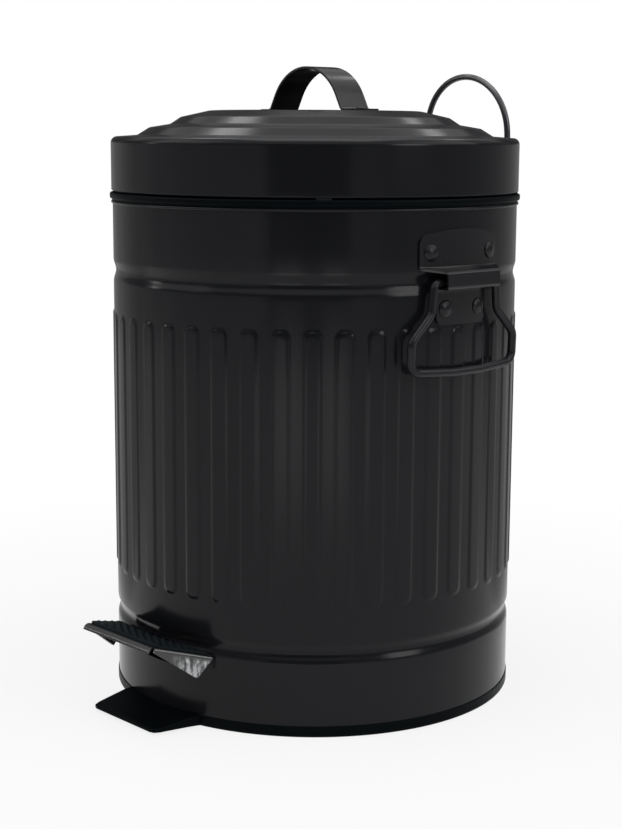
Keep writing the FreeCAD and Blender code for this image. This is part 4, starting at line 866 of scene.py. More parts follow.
class BIN_OT_finishes(Operator):
    """Makes the bin's finishes and puts them on the nodes that keep their own surfaces."""
    bl_idname = "pedal_bin.finishes"
    bl_label = "Finishes"

    def execute(self, context):
        f = context.scene.bin_finish
        enamel("body_enamel", f.enamel, f.enamel_gloss)
        enamel("lid_enamel", f.enamel, f.enamel_gloss)
        enamel("handle_enamel", f.enamel, f.enamel_gloss, peel=0.7, shine=0.3)
        enamel("rivet_enamel", f.enamel, f.enamel_gloss * 1.6, peel=0.6, shine=0.2)
        # The pedal's enamel carries a painted highlight of metallic steel on its flanges
        glare_flange_enamel("pedal_enamel", f.enamel, f.enamel_gloss, f.steel, context.scene.bin_pedal)
        enamel("wire_enamel", f.wire, f.wire_gloss, peel=0.5, shine=0.2)
        # Painted highlight: the rear bail gets a copy of the wire enamel 2.6 times lighter, for the
        # light that falls on it
        lit_rear_wire_tone = [value * 2.6 for value in f.wire]
        enamel("rear_wire_lit_enamel", lit_rear_wire_tone, f.wire_gloss * 0.6, peel=0.5, shine=0.7)
        plastic("moulded_black", f.plastic, gloss=0.36, grain=0.01 * MM, specular=0.03)
        plastic("moulded_grey", f.bucket, gloss=0.4, grain=0.012 * MM)
        plastic("grip_plastic", f.bucket, gloss=0.34, grain=0.008 * MM)
        rubber("pad_rubber", f.rubber)
        rubber("soft_black", f.bucket)
        zinc("plated_zinc", f.steel)
        kept = {"plated_zinc": ("pivot_bracket", "pivot_bracket_rivets", "pivot_pin", "lift_rod",
                                "crank_pin"),
                "body_enamel": ("pedal_lever",),
                "moulded_black": ("rod_guide",)}
        for name, nodes in kept.items():
            for node in nodes:
                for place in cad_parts[node].material_slots:
                    place.material = finish_of(name)
        return {"FINISHED"}


# Body, base and collar

# The body's grid, in millimetres: heights of rows where the wall is plain, distances of rows from a
# rib's end and of columns from its spine, and the least distance between two rows
PLAIN_ROWS = (10, 18, 50, 57, 90, 126, 162, 197, 202, 226)
RIB_END_ROWS = (-0.4, 0.02, 0.3, 0.8, 1.4, 2.2, 3.2, 4.6)
SPINE_COLUMNS = (0, 2.3, 3.0, 3.5, 4.0, 4.5, 5.3)
ROW_GAP = 0.08


class BIN_OT_body(Operator):
    """The ribbed body. Its radius at a direction a and a height z is the body's radius + rib + roll
    - grooves: a rib is rise x smoothstep((foot - d) / (foot - crest)), with d the distance from the
    rib's spine, a groove is depth x cos^2(pi (z - middle) / width), and the roll is a half circle
    under the upper edge."""
    bl_idname = "pedal_bin.body"
    bl_label = "Body"

    def execute(self, context):
        s = context.scene.bin_body
        front, back = 1.5 * math.pi, 0.5 * math.pi
        pitch = 2 * math.pi / s.rib_count
        steps = np.array(SPINE_COLUMNS) * MM / s.radius
        steps = np.r_[-steps[:0:-1], steps, pitch / 2]
        angles = s.rib_start + np.add.outer(np.arange(s.rib_count) * pitch, steps)
        angles = angles.reshape(-1) % (2 * math.pi)
        slot = math.asin(s.slot_half / s.radius)
        notch = math.asin(s.notch_half / s.radius)
        for wanted in (front - slot, front + slot, back - notch, back + notch):
            angles[np.argmin(np.abs(angles - wanted))] = wanted
        angles = np.sort(angles)
        ends = np.array(RIB_END_ROWS) * MM
        roll_rows = s.top - s.roll * (1 + np.cos(np.linspace(0, math.pi, 8)))
        z = np.concatenate([
            [s.bottom, s.slot_bottom - s.slot_margin, s.slot_bottom, s.slot_top,
             s.notch_bottom, s.top],
            np.array(PLAIN_ROWS) * MM, s.rib_bottom + ends, s.rib_top - ends,
            s.low_groove + np.linspace(-0.5, 0.5, 13) * s.low_groove_width,
            s.high_groove + np.linspace(-0.5, 0.5, 15) * s.high_groove_width, roll_rows])
        z = np.unique(np.round(z, 7))
        z = z[np.r_[True, np.diff(z) > ROW_GAP * MM]]
        z[np.argmin(np.abs(z - s.slot_top))] = s.slot_top
        a, z = np.meshgrid(angles, z)
        local = (a - s.rib_start + pitch / 2) % pitch - pitch / 2
        low, high = s.rib_bottom + s.rib_foot / 2, s.rib_top - s.rib_foot / 2
        beyond = np.maximum(0, np.maximum(low - z, z - high))
        d = np.hypot(local * s.radius, beyond)
        t = np.clip((s.rib_foot / 2 - d) / (s.rib_foot / 2 - s.rib_crest / 2), 0, 1)
        form = s.rib_rise * smooth(t)
        for middle, width, depth in (
                (s.low_groove, s.low_groove_width, s.low_groove_depth),
                (s.high_groove, s.high_groove_width, s.high_groove_depth)):
            near = np.clip((z - middle) / width, -0.5, 0.5)
            form -= depth * np.cos(near * math.pi) ** 2
        roll = np.sqrt(np.maximum(s.roll ** 2 - (z - (s.top - s.roll)) ** 2, 0))
        skins = []
        for radius in (s.radius + form + roll, s.radius - s.wall + form):
            skins.append(np.stack([radius * np.cos(a), radius * np.sin(a), z], -1))
        middle_z = (z[:-1] + z[1:]) / 2
        middle_a = a[:-1] + (np.roll(a, -1, axis=1) - a)[:-1] % (2 * math.pi) / 2
        in_slot = ((np.abs(middle_a - front) < slot) & (middle_z > s.slot_bottom)
                   & (middle_z < s.slot_top))
        in_notch = (np.abs(middle_a - back) < notch) & (middle_z > s.notch_bottom)
        skin = two_skins(skins[0], skins[1], ~(in_slot | in_notch), True)
        make_piece("body_shell_enamelled", [skin], "bin", "body_enamel",
                   ("body_shell",), sharp=50)
        return {"FINISHED"}


class BIN_OT_base(Operator):
    """The base pan: its outline carried round Z, the floor's ribs, the stop under the lever's end,
    and the tongue, whose upper face falls from the pan's shoulder to the tip and rolls off along
    its edges by r - sqrt(r^2 - over^2)."""
    bl_idname = "pedal_bin.base"
    bl_label = "Base pan"

    def execute(self, context):
        s, b = context.scene.bin_base, context.scene.bin_body
        fit = b.radius - b.wall - s.fit_gap
        pan = rounded_line([
            ((0, 0), 0), ((s.radius, 0), s.edge), ((s.radius, s.height), s.corner),
            ((fit, s.height), 0), ((fit, s.upstand), s.corner),
            ((s.upstand_inner, s.upstand), s.corner), ((s.upstand_inner, s.floor), s.edge),
            ((0, s.floor), 0)])
        ring = rounded_line([
            ((s.rib_inner, s.floor), 0), ((s.rib_inner + s.rib_thickness, s.floor), 0),
            ((s.rib_inner + s.rib_thickness, s.floor + s.rib_height), s.corner),
            ((s.rib_inner, s.floor + s.rib_height), s.corner)])
        rib = bar((s.rib_inner, -s.rib_thickness / 2, s.floor - s.corner),
                  (s.upstand_inner + s.corner, s.rib_thickness / 2, s.floor + s.rib_height))
        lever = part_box("pedal_lever")[0].z
        stop = bar((-s.stop_half, s.stop_inner, s.floor - s.corner),
                   (s.stop_half, s.stop_outer, lever - s.stop_gap))
        skins = [turned(pan, columns=256), self.tongue(s), turned(ring, columns=128)]
        skins += [turned_to(rib, 2 * math.pi * (k + 0.5) / s.rib_count) for k in range(s.rib_count)]
        skins.append(stop)
        make_piece("base_pan_moulded", skins, "bin", "moulded_black",
                   ("base_pan",))
        return {"FINISHED"}

    def tongue(self, s):
        """The tongue's two faces on a grid of x across and y outwards."""
        reach, root = s.tongue_reach, s.radius - s.tongue_root
        out = reach - np.r_[spread(13)[:7] + 1, np.linspace(0.25, 1, 7)] * (reach - root)
        out = np.unique(np.clip(np.round(out, 7), root, reach))[::-1][:, None]
        near = np.clip(s.tongue_corner - (reach - out), 0, s.tongue_corner)
        half = s.tongue_half - s.tongue_corner
        half = half + np.sqrt(np.maximum(s.tongue_corner ** 2 - near ** 2, 0))
        half = half + s.tongue_flare * (reach - out) / (reach - s.radius)
        x = half * spread(41)[None, :]
        y = -out + 0 * x
        lift = s.tongue_lift * ((out - root) / (reach - root)) ** 0.5
        low = s.tongue_tip + s.tongue_lift
        top = low + (s.height - low) * (reach - out) / (reach - s.radius)
        top = np.minimum(top, s.height) + 0 * x
        r = s.tongue_tip / 2
        over = np.clip(r - np.minimum(half - np.abs(x), reach - out), 0, r)
        top = top - r + np.sqrt(np.maximum(r ** 2 - over ** 2, 0))
        return two_skins(np.stack([x, y, top], -1), np.stack([x, y, lift + 0 * x], -1))


class BIN_OT_collar(Operator):
    """The moulded collar: its outline carried round Z, open at the back for the lid's crank, and
    the four rubber buffers on its lip, short turns of a rounded block."""
    bl_idname = "pedal_bin.collar"
    bl_label = "Collar"

    def execute(self, context):
        s, b, lid = context.scene.bin_collar, context.scene.bin_body, context.scene.bin_lid
        fit = b.radius - b.wall - s.fit_gap
        outline = rounded_line([
            ((fit - s.wall, s.skirt), s.corner), ((fit, s.skirt), s.corner), ((fit, b.top), 0),
            ((s.shoulder, b.top), s.corner), ((s.shoulder, s.lip_bottom), s.corner),
            ((s.lip, s.lip_bottom), s.lip_round), ((s.lip, s.lip_top), s.lip_round),
            ((s.neck, s.lip_top), s.neck_round), ((s.neck, s.top), s.lip_round),
            ((s.bore, s.top), s.neck_round), ((s.bore, s.top - s.flange), s.neck_round),
            ((s.neck - s.wall, s.top - s.flange), s.flange_round),
            ((s.neck - s.wall, s.lip_bottom), s.inner_round),
            ((fit - s.wall, b.top), s.inner_round)], closed=True)
        half = math.asin(b.notch_half / s.neck)
        angles = np.linspace(math.pi / 2 + half, 2.5 * math.pi - half, 241)
        make_piece("collar_moulded", [turned(outline, angles)], "bin", "moulded_black",
                   ("collar_ring",))
        inner = (s.neck + lid.radius - s.buffer) / 2
        outer = inner + s.buffer
        block = rounded_line([((inner, s.lip_top), 0), ((outer, s.lip_top), 0),
                              ((outer, lid.bottom), s.corner), ((inner, lid.bottom), s.corner)],
                             closed=True)
        half = math.asin(s.buffer_half / outer)
        side = s.buffer_side
        buffers = [turned(block, middle + np.linspace(-half, half, 9))
                   for middle in (side, math.pi - side, math.pi + side, 2 * math.pi - side)]
        make_piece("lid_buffers_moulded", buffers, "bin", "soft_black",
                   ("lid_buffers",))
        return {"FINISHED"}


# Lid and strap handle

class BIN_OT_lid(Operator):
    """The stepped lid: a rounded outline carried round Z. The inner side is the outer one moved
    inwards by the wall along its normals, and the hem is folded in at the lower edge."""
    bl_idname = "pedal_bin.lid"
    bl_label = "Lid"

    def execute(self, context):
        s = context.scene.bin_lid
        soft = s.step_round + s.wall
        hem_top = s.bottom + s.hem
        crown = rounded_line([
            ((0, s.top), 0), ((s.top_radius, s.top), s.top_round),
            ((s.second_crest, s.second_crest_height), soft),
            ((s.second_foot, s.second_foot_height), s.step_round),
            ((s.first_crest, s.first_crest_height), soft),
            ((s.first_foot, s.first_foot_height), s.step_round),
            ((s.radius, s.edge), s.shoulder), ((s.radius, hem_top + s.wall), 0)], step=4.0)
        run = unit(np.gradient(crown, axis=0))
        inner = crown - np.stack([-run[:, 1], run[:, 0]], -1) * s.wall
        inner[0, 0] = 0
        fold, fold_round = s.radius - 2 * s.wall, 0.75 * s.wall
        hem = rounded_line([
            ((s.radius, hem_top), 0), ((s.radius, s.bottom), fold_round),
            ((fold, s.bottom), fold_round), ((fold, hem_top), 0.3 * s.wall),
            ((s.radius - s.wall, hem_top), 0)])
        outline = np.concatenate([crown, hem, inner[::-1]])
        make_piece("lid_shell_enamelled", [turned(outline, columns=288)], "lid", "lid_enamel",
                   ("lid_shell",), sharp=50)
        return {"FINISHED"}


class BIN_OT_strap(Operator):
    """The strap handle: a rounded arch in X and Z carried across Y, narrower at its ends by the
    corners' rounding, with its two rivets."""
    bl_idname = "pedal_bin.strap"
    bl_label = "Strap handle"

    def execute(self, context):
        s, lid, r = context.scene.bin_strap, context.scene.bin_lid, context.scene.bin_rivet
        apex = s.foot * math.tan(s.lean)
        bow = (apex - s.rise) / (1 / math.sin(math.pi / 2 - s.lean) - 1)
        base = lid.top + s.thickness / 2
        end = s.foot + s.foot_length
        line = rounded_line([((-end, base), 0), ((-s.foot, base), s.bend), ((0, base + apex), bow),
                             ((s.foot, base), s.bend), ((end, base), 0)], step=5.0, hold=0)
        tip = s.corner * (1 - np.cos(np.linspace(0, math.pi / 2, 7)))[1:]
        foot = np.stack([-end + tip, np.full(len(tip), base)], -1)
        line = np.concatenate([line[:1], foot, line[1:-1], foot[::-1] * (-1, 1), line[-1:]])
        run = unit(np.gradient(line, axis=0))
        line = line + np.stack([-run[:, 1], run[:, 0]], -1) * s.thickness / 2
        near = np.clip(s.corner - (end - np.abs(line[:, 0])), 0, s.corner)
        half = s.width / 2 - s.corner + np.sqrt(np.maximum(s.corner ** 2 - near ** 2, 0))
        across = spread(15)[None, :] * half[:, None]
        top = np.stack([line[:, :1] + 0 * across, across, line[:, 1:] + 0 * across], -1)
        top[..., :2] += s.shift
        make_piece("lid_handle_strap", [sheet(top, -s.thickness)], "lid", "handle_enamel",
                   ("lid_handle",), edge=s.cut)
        shape = small_rivet(r, s.thickness + lid.wall)
        x = end - s.rivet_inset
        seat = lid.top + s.thickness
        heads = [moved(shape, (s.shift[0] + side * x, s.shift[1], seat)) for side in (-1, 1)]
        make_piece("lid_handle_rivet_heads", heads, "lid", "rivet_enamel",
                   ("lid_handle_rivets",), sharp=60)
        return {"FINISHED"}


# Side handles

def handle_stamping(s, wall_radius):
    """Stamping of a side handle on the +X side. An outline in X and Z runs up the wall, out along
    the lower ledge, up the channel's front and back along the upper ledge. Its half width follows
    the plates, and x = wall(y) + q (front - wall(y)), with q the outline's share of the way out and
    wall(y) the round wall."""
    t = spread(65)[None, :]
    y = t * s.lower_half
    start = s.channel_bottom - s.root_bend
    z = np.linspace(0, 1, 10)[:, None]
    z = (s.lower_bottom + corner_rise(y, s.lower_half, s.corner)) * (1 - z) + start * z
    rows = [(y + 0 * z, z, 0 * z)]
    ledge = s.channel_top + s.ledge_fall
    line = rounded_line([
        ((wall_radius, start), 0), ((wall_radius, s.channel_bottom), s.root_bend),
        ((s.front, s.channel_bottom), s.channel_bend), ((s.front, s.channel_top), s.channel_bend),
        ((wall_radius, ledge), s.root_bend), ((wall_radius, ledge + s.root_bend), 0)], step=10.0)
    line = line[1:-1]
    q = ((line[:, :1] - wall_radius) / (s.front - wall_radius)).clip(0, 1)
    middle = (s.channel_bottom + s.channel_top) / 2
    outer = np.where(line[:, 1:] < middle, s.lower_half, s.upper_half)
    half = outer + (s.channel_half - outer) * q ** 0.9
    rows.append((half * t, line[:, 1:] + 0 * t, q + 0 * t))
    outline = rounded_line([
        ((s.upper_half, s.channel_top), 0), ((s.upper_half, s.shoulder), s.corner),
        ((0, s.apex), s.bow), ((-s.upper_half, s.shoulder), s.corner),
        ((-s.upper_half, s.channel_top), 0)], step=4.0, hold=0)[1:-1]
    outline = outline[outline[:, 0] >= -1e-9][::-1]
    y = t * s.upper_half
    crown = np.interp(np.abs(y), outline[:, 0], outline[:, 1])
    z = np.linspace(0, 1, 12)[1:, None]
    z = (ledge + s.root_bend) * (1 - z) + crown * z
    rows.append((y + 0 * z, z, 0 * z))
    y, z, q = (np.concatenate(part) for part in zip(*rows))
    wall = np.sqrt(wall_radius ** 2 - y ** 2)
    return np.stack([wall + q * (s.front - wall), y, z], -1)


def drop_bail_line(w):
    """Middle line of the right drop bail: its top bar on the pivots' axis, its two bent legs, which
    lean in towards the lower bar in proportion to the height, and the bowed lower bar."""
    drop = w.pivot_height - w.low

    def out(height):
        return w.pivot_out - (w.pivot_out - w.low_out) * (w.pivot_height - height) / drop
    half = [((w.pivot_out, w.neck, w.pivot_height), w.neck_bend),
            ((out(w.knee_height), w.knee, w.knee_height), w.knee_bend),
            ((out(w.elbow_height), w.elbow, w.elbow_height), w.knee_bend),
            ((w.low_out, w.elbow, w.low), w.low_bend)]
    other = [((x, -y, z), radius) for (x, y, z), radius in half[::-1]]
    middle = ((2 * w.middle_out - w.low_out, 0, w.low - w.sag), w.low_bow)
    start = ((w.pivot_out, 10 * SEAM, w.pivot_height), 0)
    end = ((w.pivot_out, -10 * SEAM, w.pivot_height), 0)
    return rounded_line([start] + half + [middle] + other + [end], step=6.0)


class BIN_OT_side_handles(Operator):
    """The two side handles: a stamping with a channel, four domed rivets and a drop bail of round
    wire, made on the +X side and turned by half a turn for the other."""
    bl_idname = "pedal_bin.side_handles"
    bl_label = "Side handles"

    def execute(self, context):
        scene = context.scene
        s, w, b, r = scene.bin_handle, scene.bin_bail, scene.bin_body, scene.bin_rivet
        seat = b.radius + s.gap + s.plate
        stamping = sheet(handle_stamping(s, seat), s.plate)
        rows = ((s.upper_rivet, s.upper_rivet_height), (s.lower_rivet, s.lower_rivet_height))
        places = [(side * across, height) for across, height in rows for side in (-1, 1)]
        shape = large_rivet(r, s.rivet_rise, s.plate + b.wall + 2 * s.gap)
        heads = on_wall(shape, places, seat)
        wire = swept(drop_bail_line(w), w.wire, np.array([1.0, 0, 0]), 28)
        for name, angle in (("right", 0.0), ("left", math.pi)):
            make_piece(name + "_handle_stamping", [turned_to(stamping, angle)], "bin",
                       "handle_enamel", (name + "_handle_bracket",), edge=s.cut)
            make_piece(name + "_handle_rivet_heads", [turned_to(head, angle) for head in heads],
                       "bin", "rivet_enamel", (name + "_handle_rivets",), sharp=60)
            make_piece(name + "_drop_bail", [turned_to(wire, angle)], name + "_bail", "wire_enamel",
                       (name + "_bail",))
        return {"FINISHED"}


# Hinge and rear bail

class BIN_OT_hinge(Operator):
    """The lid's hinge: a plate with two ears on the body, a leaf with two cheeks on the lid, the
    tube between them and the rivets. Cheeks and ears are rounded outlines pushed sideways by the
    sheet's thickness."""
    bl_idname = "pedal_bin.hinge"
    bl_label = "Hinge"

    def execute(self, context):
        scene = context.scene
        s, lid, b, r = scene.bin_hinge, scene.bin_lid, scene.bin_body, scene.bin_rivet
        back = math.pi / 2
        leaf_face = lid.radius + s.gap + s.sheet
        leaf = self.plate(s.leaf_half, s.leaf_bottom, s.leaf_top, leaf_face, s,
                          self.cheek_outline(s, scene.bin_collar, leaf_face), s.cheek_half)
        make_piece("hinge_leaf_with_cheeks", leaf, "lid", "lid_enamel",
                   ("lid_hinge_leaf",), edge=s.cut)
        places = [(side * s.leaf_rivet, s.leaf_rivet_height) for side in (-1, 1)]
        heads = on_wall(small_rivet(r, s.sheet + lid.wall + 2 * s.gap), places, leaf_face, back)
        make_piece("hinge_leaf_rivet_heads", heads, "lid", "rivet_enamel",
                   ("lid_hinge_rivets",), sharp=60)
        plate_face = b.radius + s.gap + s.sheet
        plate = self.plate(s.plate_half, s.plate_bottom, s.plate_top, plate_face, s,
                           self.ear_outline(s, scene.bin_collar, b, plate_face), s.ear_half)
        make_piece("hinge_plate_with_ears", plate, "bin", "body_enamel",
                   ("hinge_bracket",), edge=s.cut)
        places = [(side * s.plate_rivet, s.plate_rivet_height) for side in (-1, 1)]
        shape = large_rivet(r, r.large_rise, s.sheet + b.wall + 2 * s.gap)
        heads = on_wall(shape, places, plate_face, back)
        make_piece("hinge_plate_rivet_heads", heads, "bin", "rivet_enamel",
                   ("hinge_bracket_rivets",), sharp=60)
        low, high, edge = -s.tube_half, s.tube_half, s.tube_edge
        tube = rounded_line([((s.bore, low), edge), ((s.tube, low), edge),
                             ((s.tube, high), edge), ((s.bore, high), edge)], closed=True)
        tube = moved(turned(tube, columns=48), (0, s.out, s.height), (1, 0, 0))
        make_piece("hinge_tube_turned", [tube], "bin", "plated_zinc", ("hinge_tube",))
        return {"FINISHED"}

    def plate(self, half, bottom, top, face, s, outline, outline_half):
        """A rounded patch on the wall at the back, with an outline pushed sideways at each side."""
        skins = [turned_to(wall_patch(half, bottom, top, s.corner, face, s.sheet), math.pi / 2)]
        for side in (-1, 1):
            skins.append(prism(outline + (side * outline_half, 0, 0), (-side * s.sheet, 0, 0)))
        return skins

    def cheek_outline(self, s, collar, leaf_face):
        """Outline of a cheek: from the leaf round the hinge's axis to the eye of the crank's
        pin."""
        crank_y = s.out - s.crank * math.cos(s.crank_angle)
        crank_z = s.height - s.crank * math.sin(s.crank_angle)
        front, eye, pin = leaf_face - s.sheet / 2, s.eye, s.crank_eye
        shelf = collar.lip_top + s.shelf_gap
        return rounded_line([
            ((0, front, s.leaf_top - s.corner), 0),
            ((0, leaf_face + pin, s.leaf_top - s.corner), pin),
            ((0, s.out + eye, s.height + eye), eye), ((0, s.out + eye, s.height - eye), eye),
            ((0, crank_y + pin, crank_z - pin), pin), ((0, crank_y - pin, crank_z - pin), pin),
            ((0, crank_y - pin, crank_z + pin), pin / 2), ((0, front + s.root, shelf), s.root),
            ((0, front + s.root / 2, s.leaf_bottom), 0), ((0, front, s.leaf_bottom + s.corner), 0)],
            closed=True)

    def ear_outline(self, s, collar, body, plate_face):
        """Outline of an ear: from the plate up round the hinge's axis."""
        front = math.sqrt((body.radius + s.ear_root) ** 2 - s.ear_half ** 2)
        ear, neck = s.ear, s.ear_neck
        return rounded_line([
            ((0, front, s.ear_foot), 0), ((0, plate_face + neck, s.ear_foot), neck),
            ((0, s.out + ear, s.height - ear), ear), ((0, s.out + ear, s.height + ear), ear),
            ((0, s.out - ear, s.height + ear), ear), ((0, s.out - ear, s.height), neck),
            ((0, collar.lip + neck, s.plate_top), neck), ((0, front, s.plate_top - s.corner), 0)],
            closed=True)


class BIN_OT_rear_bail(Operator):
    """The rear carrying bail: round wire along an arch with a half-round top, leaning in by its
    lean for each unit of height, its two ends in the hinge tube."""
    bl_idname = "pedal_bin.rear_bail"
    bl_label = "Rear bail"

    def execute(self, context):
        s, h = context.scene.bin_bail, context.scene.bin_hinge

        def point(x, z):
            return (x, h.out - s.rear_lean * (z - h.height), z)
        crown = s.rear_half - SEAM
        half = [(point(s.rear_end, h.height), 0), (point(s.rear_half, h.height), s.rear_bend),
                (point(s.rear_half, s.rear_top), crown)]
        other = [((-x, y, z), radius) for (x, y, z), radius in half[::-1]]
        wire = swept(rounded_line(half + other, step=5.0), s.rear_wire, np.array([0, 1.0, 0]), 28)
        # Its enamel is the lighter copy of the wire enamel, a painted highlight
        make_piece("rear_carrying_bail", [wire], "rear_bail", "rear_wire_lit_enamel",
                   ("rear_bail",))
        return {"FINISHED"}


# Pedal and pad

def on_slope(s, x, inward, up):
    """Points of the pedal: x across, a distance inwards from its front edge along the slope, and up
    square to it, turned by the slope and moved to the front edge."""
    c, d = math.cos(s.slope), math.sin(s.slope)
    y = -s.edge_out + inward * c + up * d
    return np.stack([x + 0 * inward, y, s.edge_height - inward * d + up * c], -1)


def wall_reach(s, x, up, radius):
    """Distance inwards at which the pedal's slope meets an upright wall of a radius."""
    y = -np.sqrt(radius ** 2 - x ** 2)
    return (y + s.edge_out - up * math.sin(s.slope)) / math.cos(s.slope)


def half_at(s, inward):
    """Half the pedal's width at a distance inwards."""
    return s.front_half + (s.rear_half - s.front_half) * inward / s.depth


class BIN_OT_pedal(Operator):
    """The pedal: one sheet whose cross section runs up a side flange, over the top and down the
    other, and whose front rolls down over the nose. The flanges start behind the nose, which leaves
    a notch at each corner, and shallow creases run down them: depth x sin(2 pi inwards / pitch + a
    slow drift)."""
    bl_idname = "pedal_bin.pedal"
    bl_label = "Pedal"

    def execute(self, context):
        s, b, r = context.scene.bin_pedal, context.scene.bin_body, context.scene.bin_rivet
        # Columns: down a flange, round its bend, over the top, and the same at the other side
        top, bends, drops = 33, 6, 8
        bend = np.linspace(0, math.pi / 2, bends + 1)
        drop = np.linspace(0, 1, drops + 1)[1:]
        edge = drops + bends
        flat = np.r_[np.full(edge, -1.0), np.linspace(-1, 1, top), np.full(edge, 1.0)]
        turn_by = np.r_[np.full(drops, math.pi / 2), bend[:0:-1], np.zeros(top), bend[1:],
                        np.full(drops, math.pi / 2)]
        fall = np.r_[drop[::-1], np.zeros(bends + top + bends), drop]
        side = np.sign(flat)
        # Rows: up the nose, then inwards to the wall
        a = np.linspace(0, math.pi / 2, 8)[:-1]
        nose_in = np.r_[-s.nose, -s.nose, -s.nose * np.cos(a[1:])]
        nose_up = np.r_[-s.nose - s.nose_drop, -s.nose - s.nose_drop / 2,
                        -s.nose + s.nose * np.sin(a[1:])]
        share_in = np.r_[0, 0.04, np.linspace(0.1, 1, 90)]
        rows, nose_rows = len(nose_in) + len(share_in), len(nose_in)
        deepest = s.depth * s.flange_end
        reach = wall_reach(s, flat * half_at(s, s.depth * 0.9), 0 * flat, b.radius + s.wall_gap)
        inward = np.concatenate([np.broadcast_to(nose_in[:, None], (nose_rows, len(flat))),
                                 share_in[:, None] * np.minimum(reach, deepest)[None, :]])
        x = flat * (half_at(s, np.maximum(inward, 0)) - s.side_bend)
        x = x + np.where(turn_by > 0, side, 0) * s.side_bend * np.sin(turn_by)
        up = -s.side_bend * (1 - np.cos(turn_by)) + 0 * x
        share = np.clip(inward / s.depth, 0, 1)
        deep = s.flange_front + (s.flange_back - s.flange_front) * share
        over = np.clip(inward - deepest + s.flange_corner, 0, s.flange_corner)
        deep = deep - s.flange_corner + np.sqrt(s.flange_corner ** 2 - over ** 2)
        up = up - fall * (deep - s.side_bend)
        x = x + side * fall * (deep - s.side_bend) * math.tan(s.flange_splay)
        drift = 1.3 * np.sin(inward / s.crease_pitch + 3 * fall)
        wave = np.sin(inward / s.crease_pitch * 2 * math.pi + drift)
        x = x + side * fall * s.crease * wave * np.clip(inward / s.depth * 3 - 0.6, 0, 1)
        inward = inward - fall * s.flange_lean * share
        up[:nose_rows] = nose_up[:, None]
        outer = on_slope(s, x, inward, up)
        kept_rows = np.arange(rows - 1) >= nose_rows
        kept_columns = (turn_by[:-1] == 0) & (turn_by[1:] == 0)
        keep = kept_rows[:, None] | kept_columns[None, :]
        make_piece("pedal_plate_pressed", [sheet(outer, s.sheet, keep)], "pedal", "pedal_enamel",
                   ("pedal_plate",), edge=s.cut, sharp=50)
        shape = rivet(r.pedal_head, r.pedal_rise, r.pedal_shank, s.rivet_grip, r.pedal_head,
                      r.pedal_rise / 2)
        c, d = math.cos(s.slope), math.sin(s.slope)
        y, z = -s.edge_out + s.rivet_in * c, s.edge_height - s.rivet_in * d
        heads = [moved(shape, (side * s.rivet_out, y, z), (0, d, c)) for side in (-1, 1)]
        make_piece("pedal_rivet_heads", heads, "pedal", "rivet_enamel",
                   ("pedal_rivets",), sharp=60)
        return {"FINISHED"}


class BIN_OT_pad(Operator):
    """The rubber pad: height over the pedal = thickness + rib rise x smoothstep of the distance
    from the slanting ribs' middles, rolled off along the edges. The ribs are where inwards / pitch
    + across / pitch is whole."""
    bl_idname = "pedal_bin.pad"
    bl_label = "Pedal pad"

    def execute(self, context):
        s, b = context.scene.bin_pedal, context.scene.bin_body
        wall = b.radius + s.wall_gap + s.pad_inset
        t = spread(171)[None, :] * 0.35 + np.linspace(-1, 1, 171)[None, :] * 0.65
        v = np.linspace(0, 1, 76)[:, None]
        rear = wall_reach(s, t * (s.rear_half - s.pad_inset), 0 * t, wall)
        inward = s.pad_front + v * (np.minimum(rear, s.depth * s.pad_end) - s.pad_front)
        near = np.clip(s.pad_corner - (inward - s.pad_front), 0, s.pad_corner)
        half = half_at(s, inward) - s.pad_inset - s.pad_corner
        half = half + np.sqrt(np.maximum(s.pad_corner ** 2 - near ** 2, 0))
        x = t * half
        phase = inward / s.rib_along + x / s.rib_across
        off = np.abs(phase - np.round(phase)) * 2
        inside = np.minimum(np.minimum(half - np.abs(x), inward - s.pad_front), (1 - v) * 20 * MM)
        fade = np.clip((inside - s.rib_inset) / s.rib_fade, 0, 1)
        rib = smooth(np.clip((0.62 - off) / 0.34, 0, 1))
        over = np.clip(s.pad_roll - inside, 0, s.pad_roll)
        roll = s.pad_roll - np.sqrt(np.maximum(s.pad_roll ** 2 - over ** 2, 0))
        up = s.pad + s.rib_rise * fade * rib - roll
        skin = two_skins(on_slope(s, x, inward, up), on_slope(s, x, inward, 0 * up + s.pad_gap))
        make_piece("pedal_pad_ribbed", [skin], "pedal", "pad_rubber",
                   ("pedal_pad",), sharp=60)
        return {"FINISHED"}


# Inner bucket

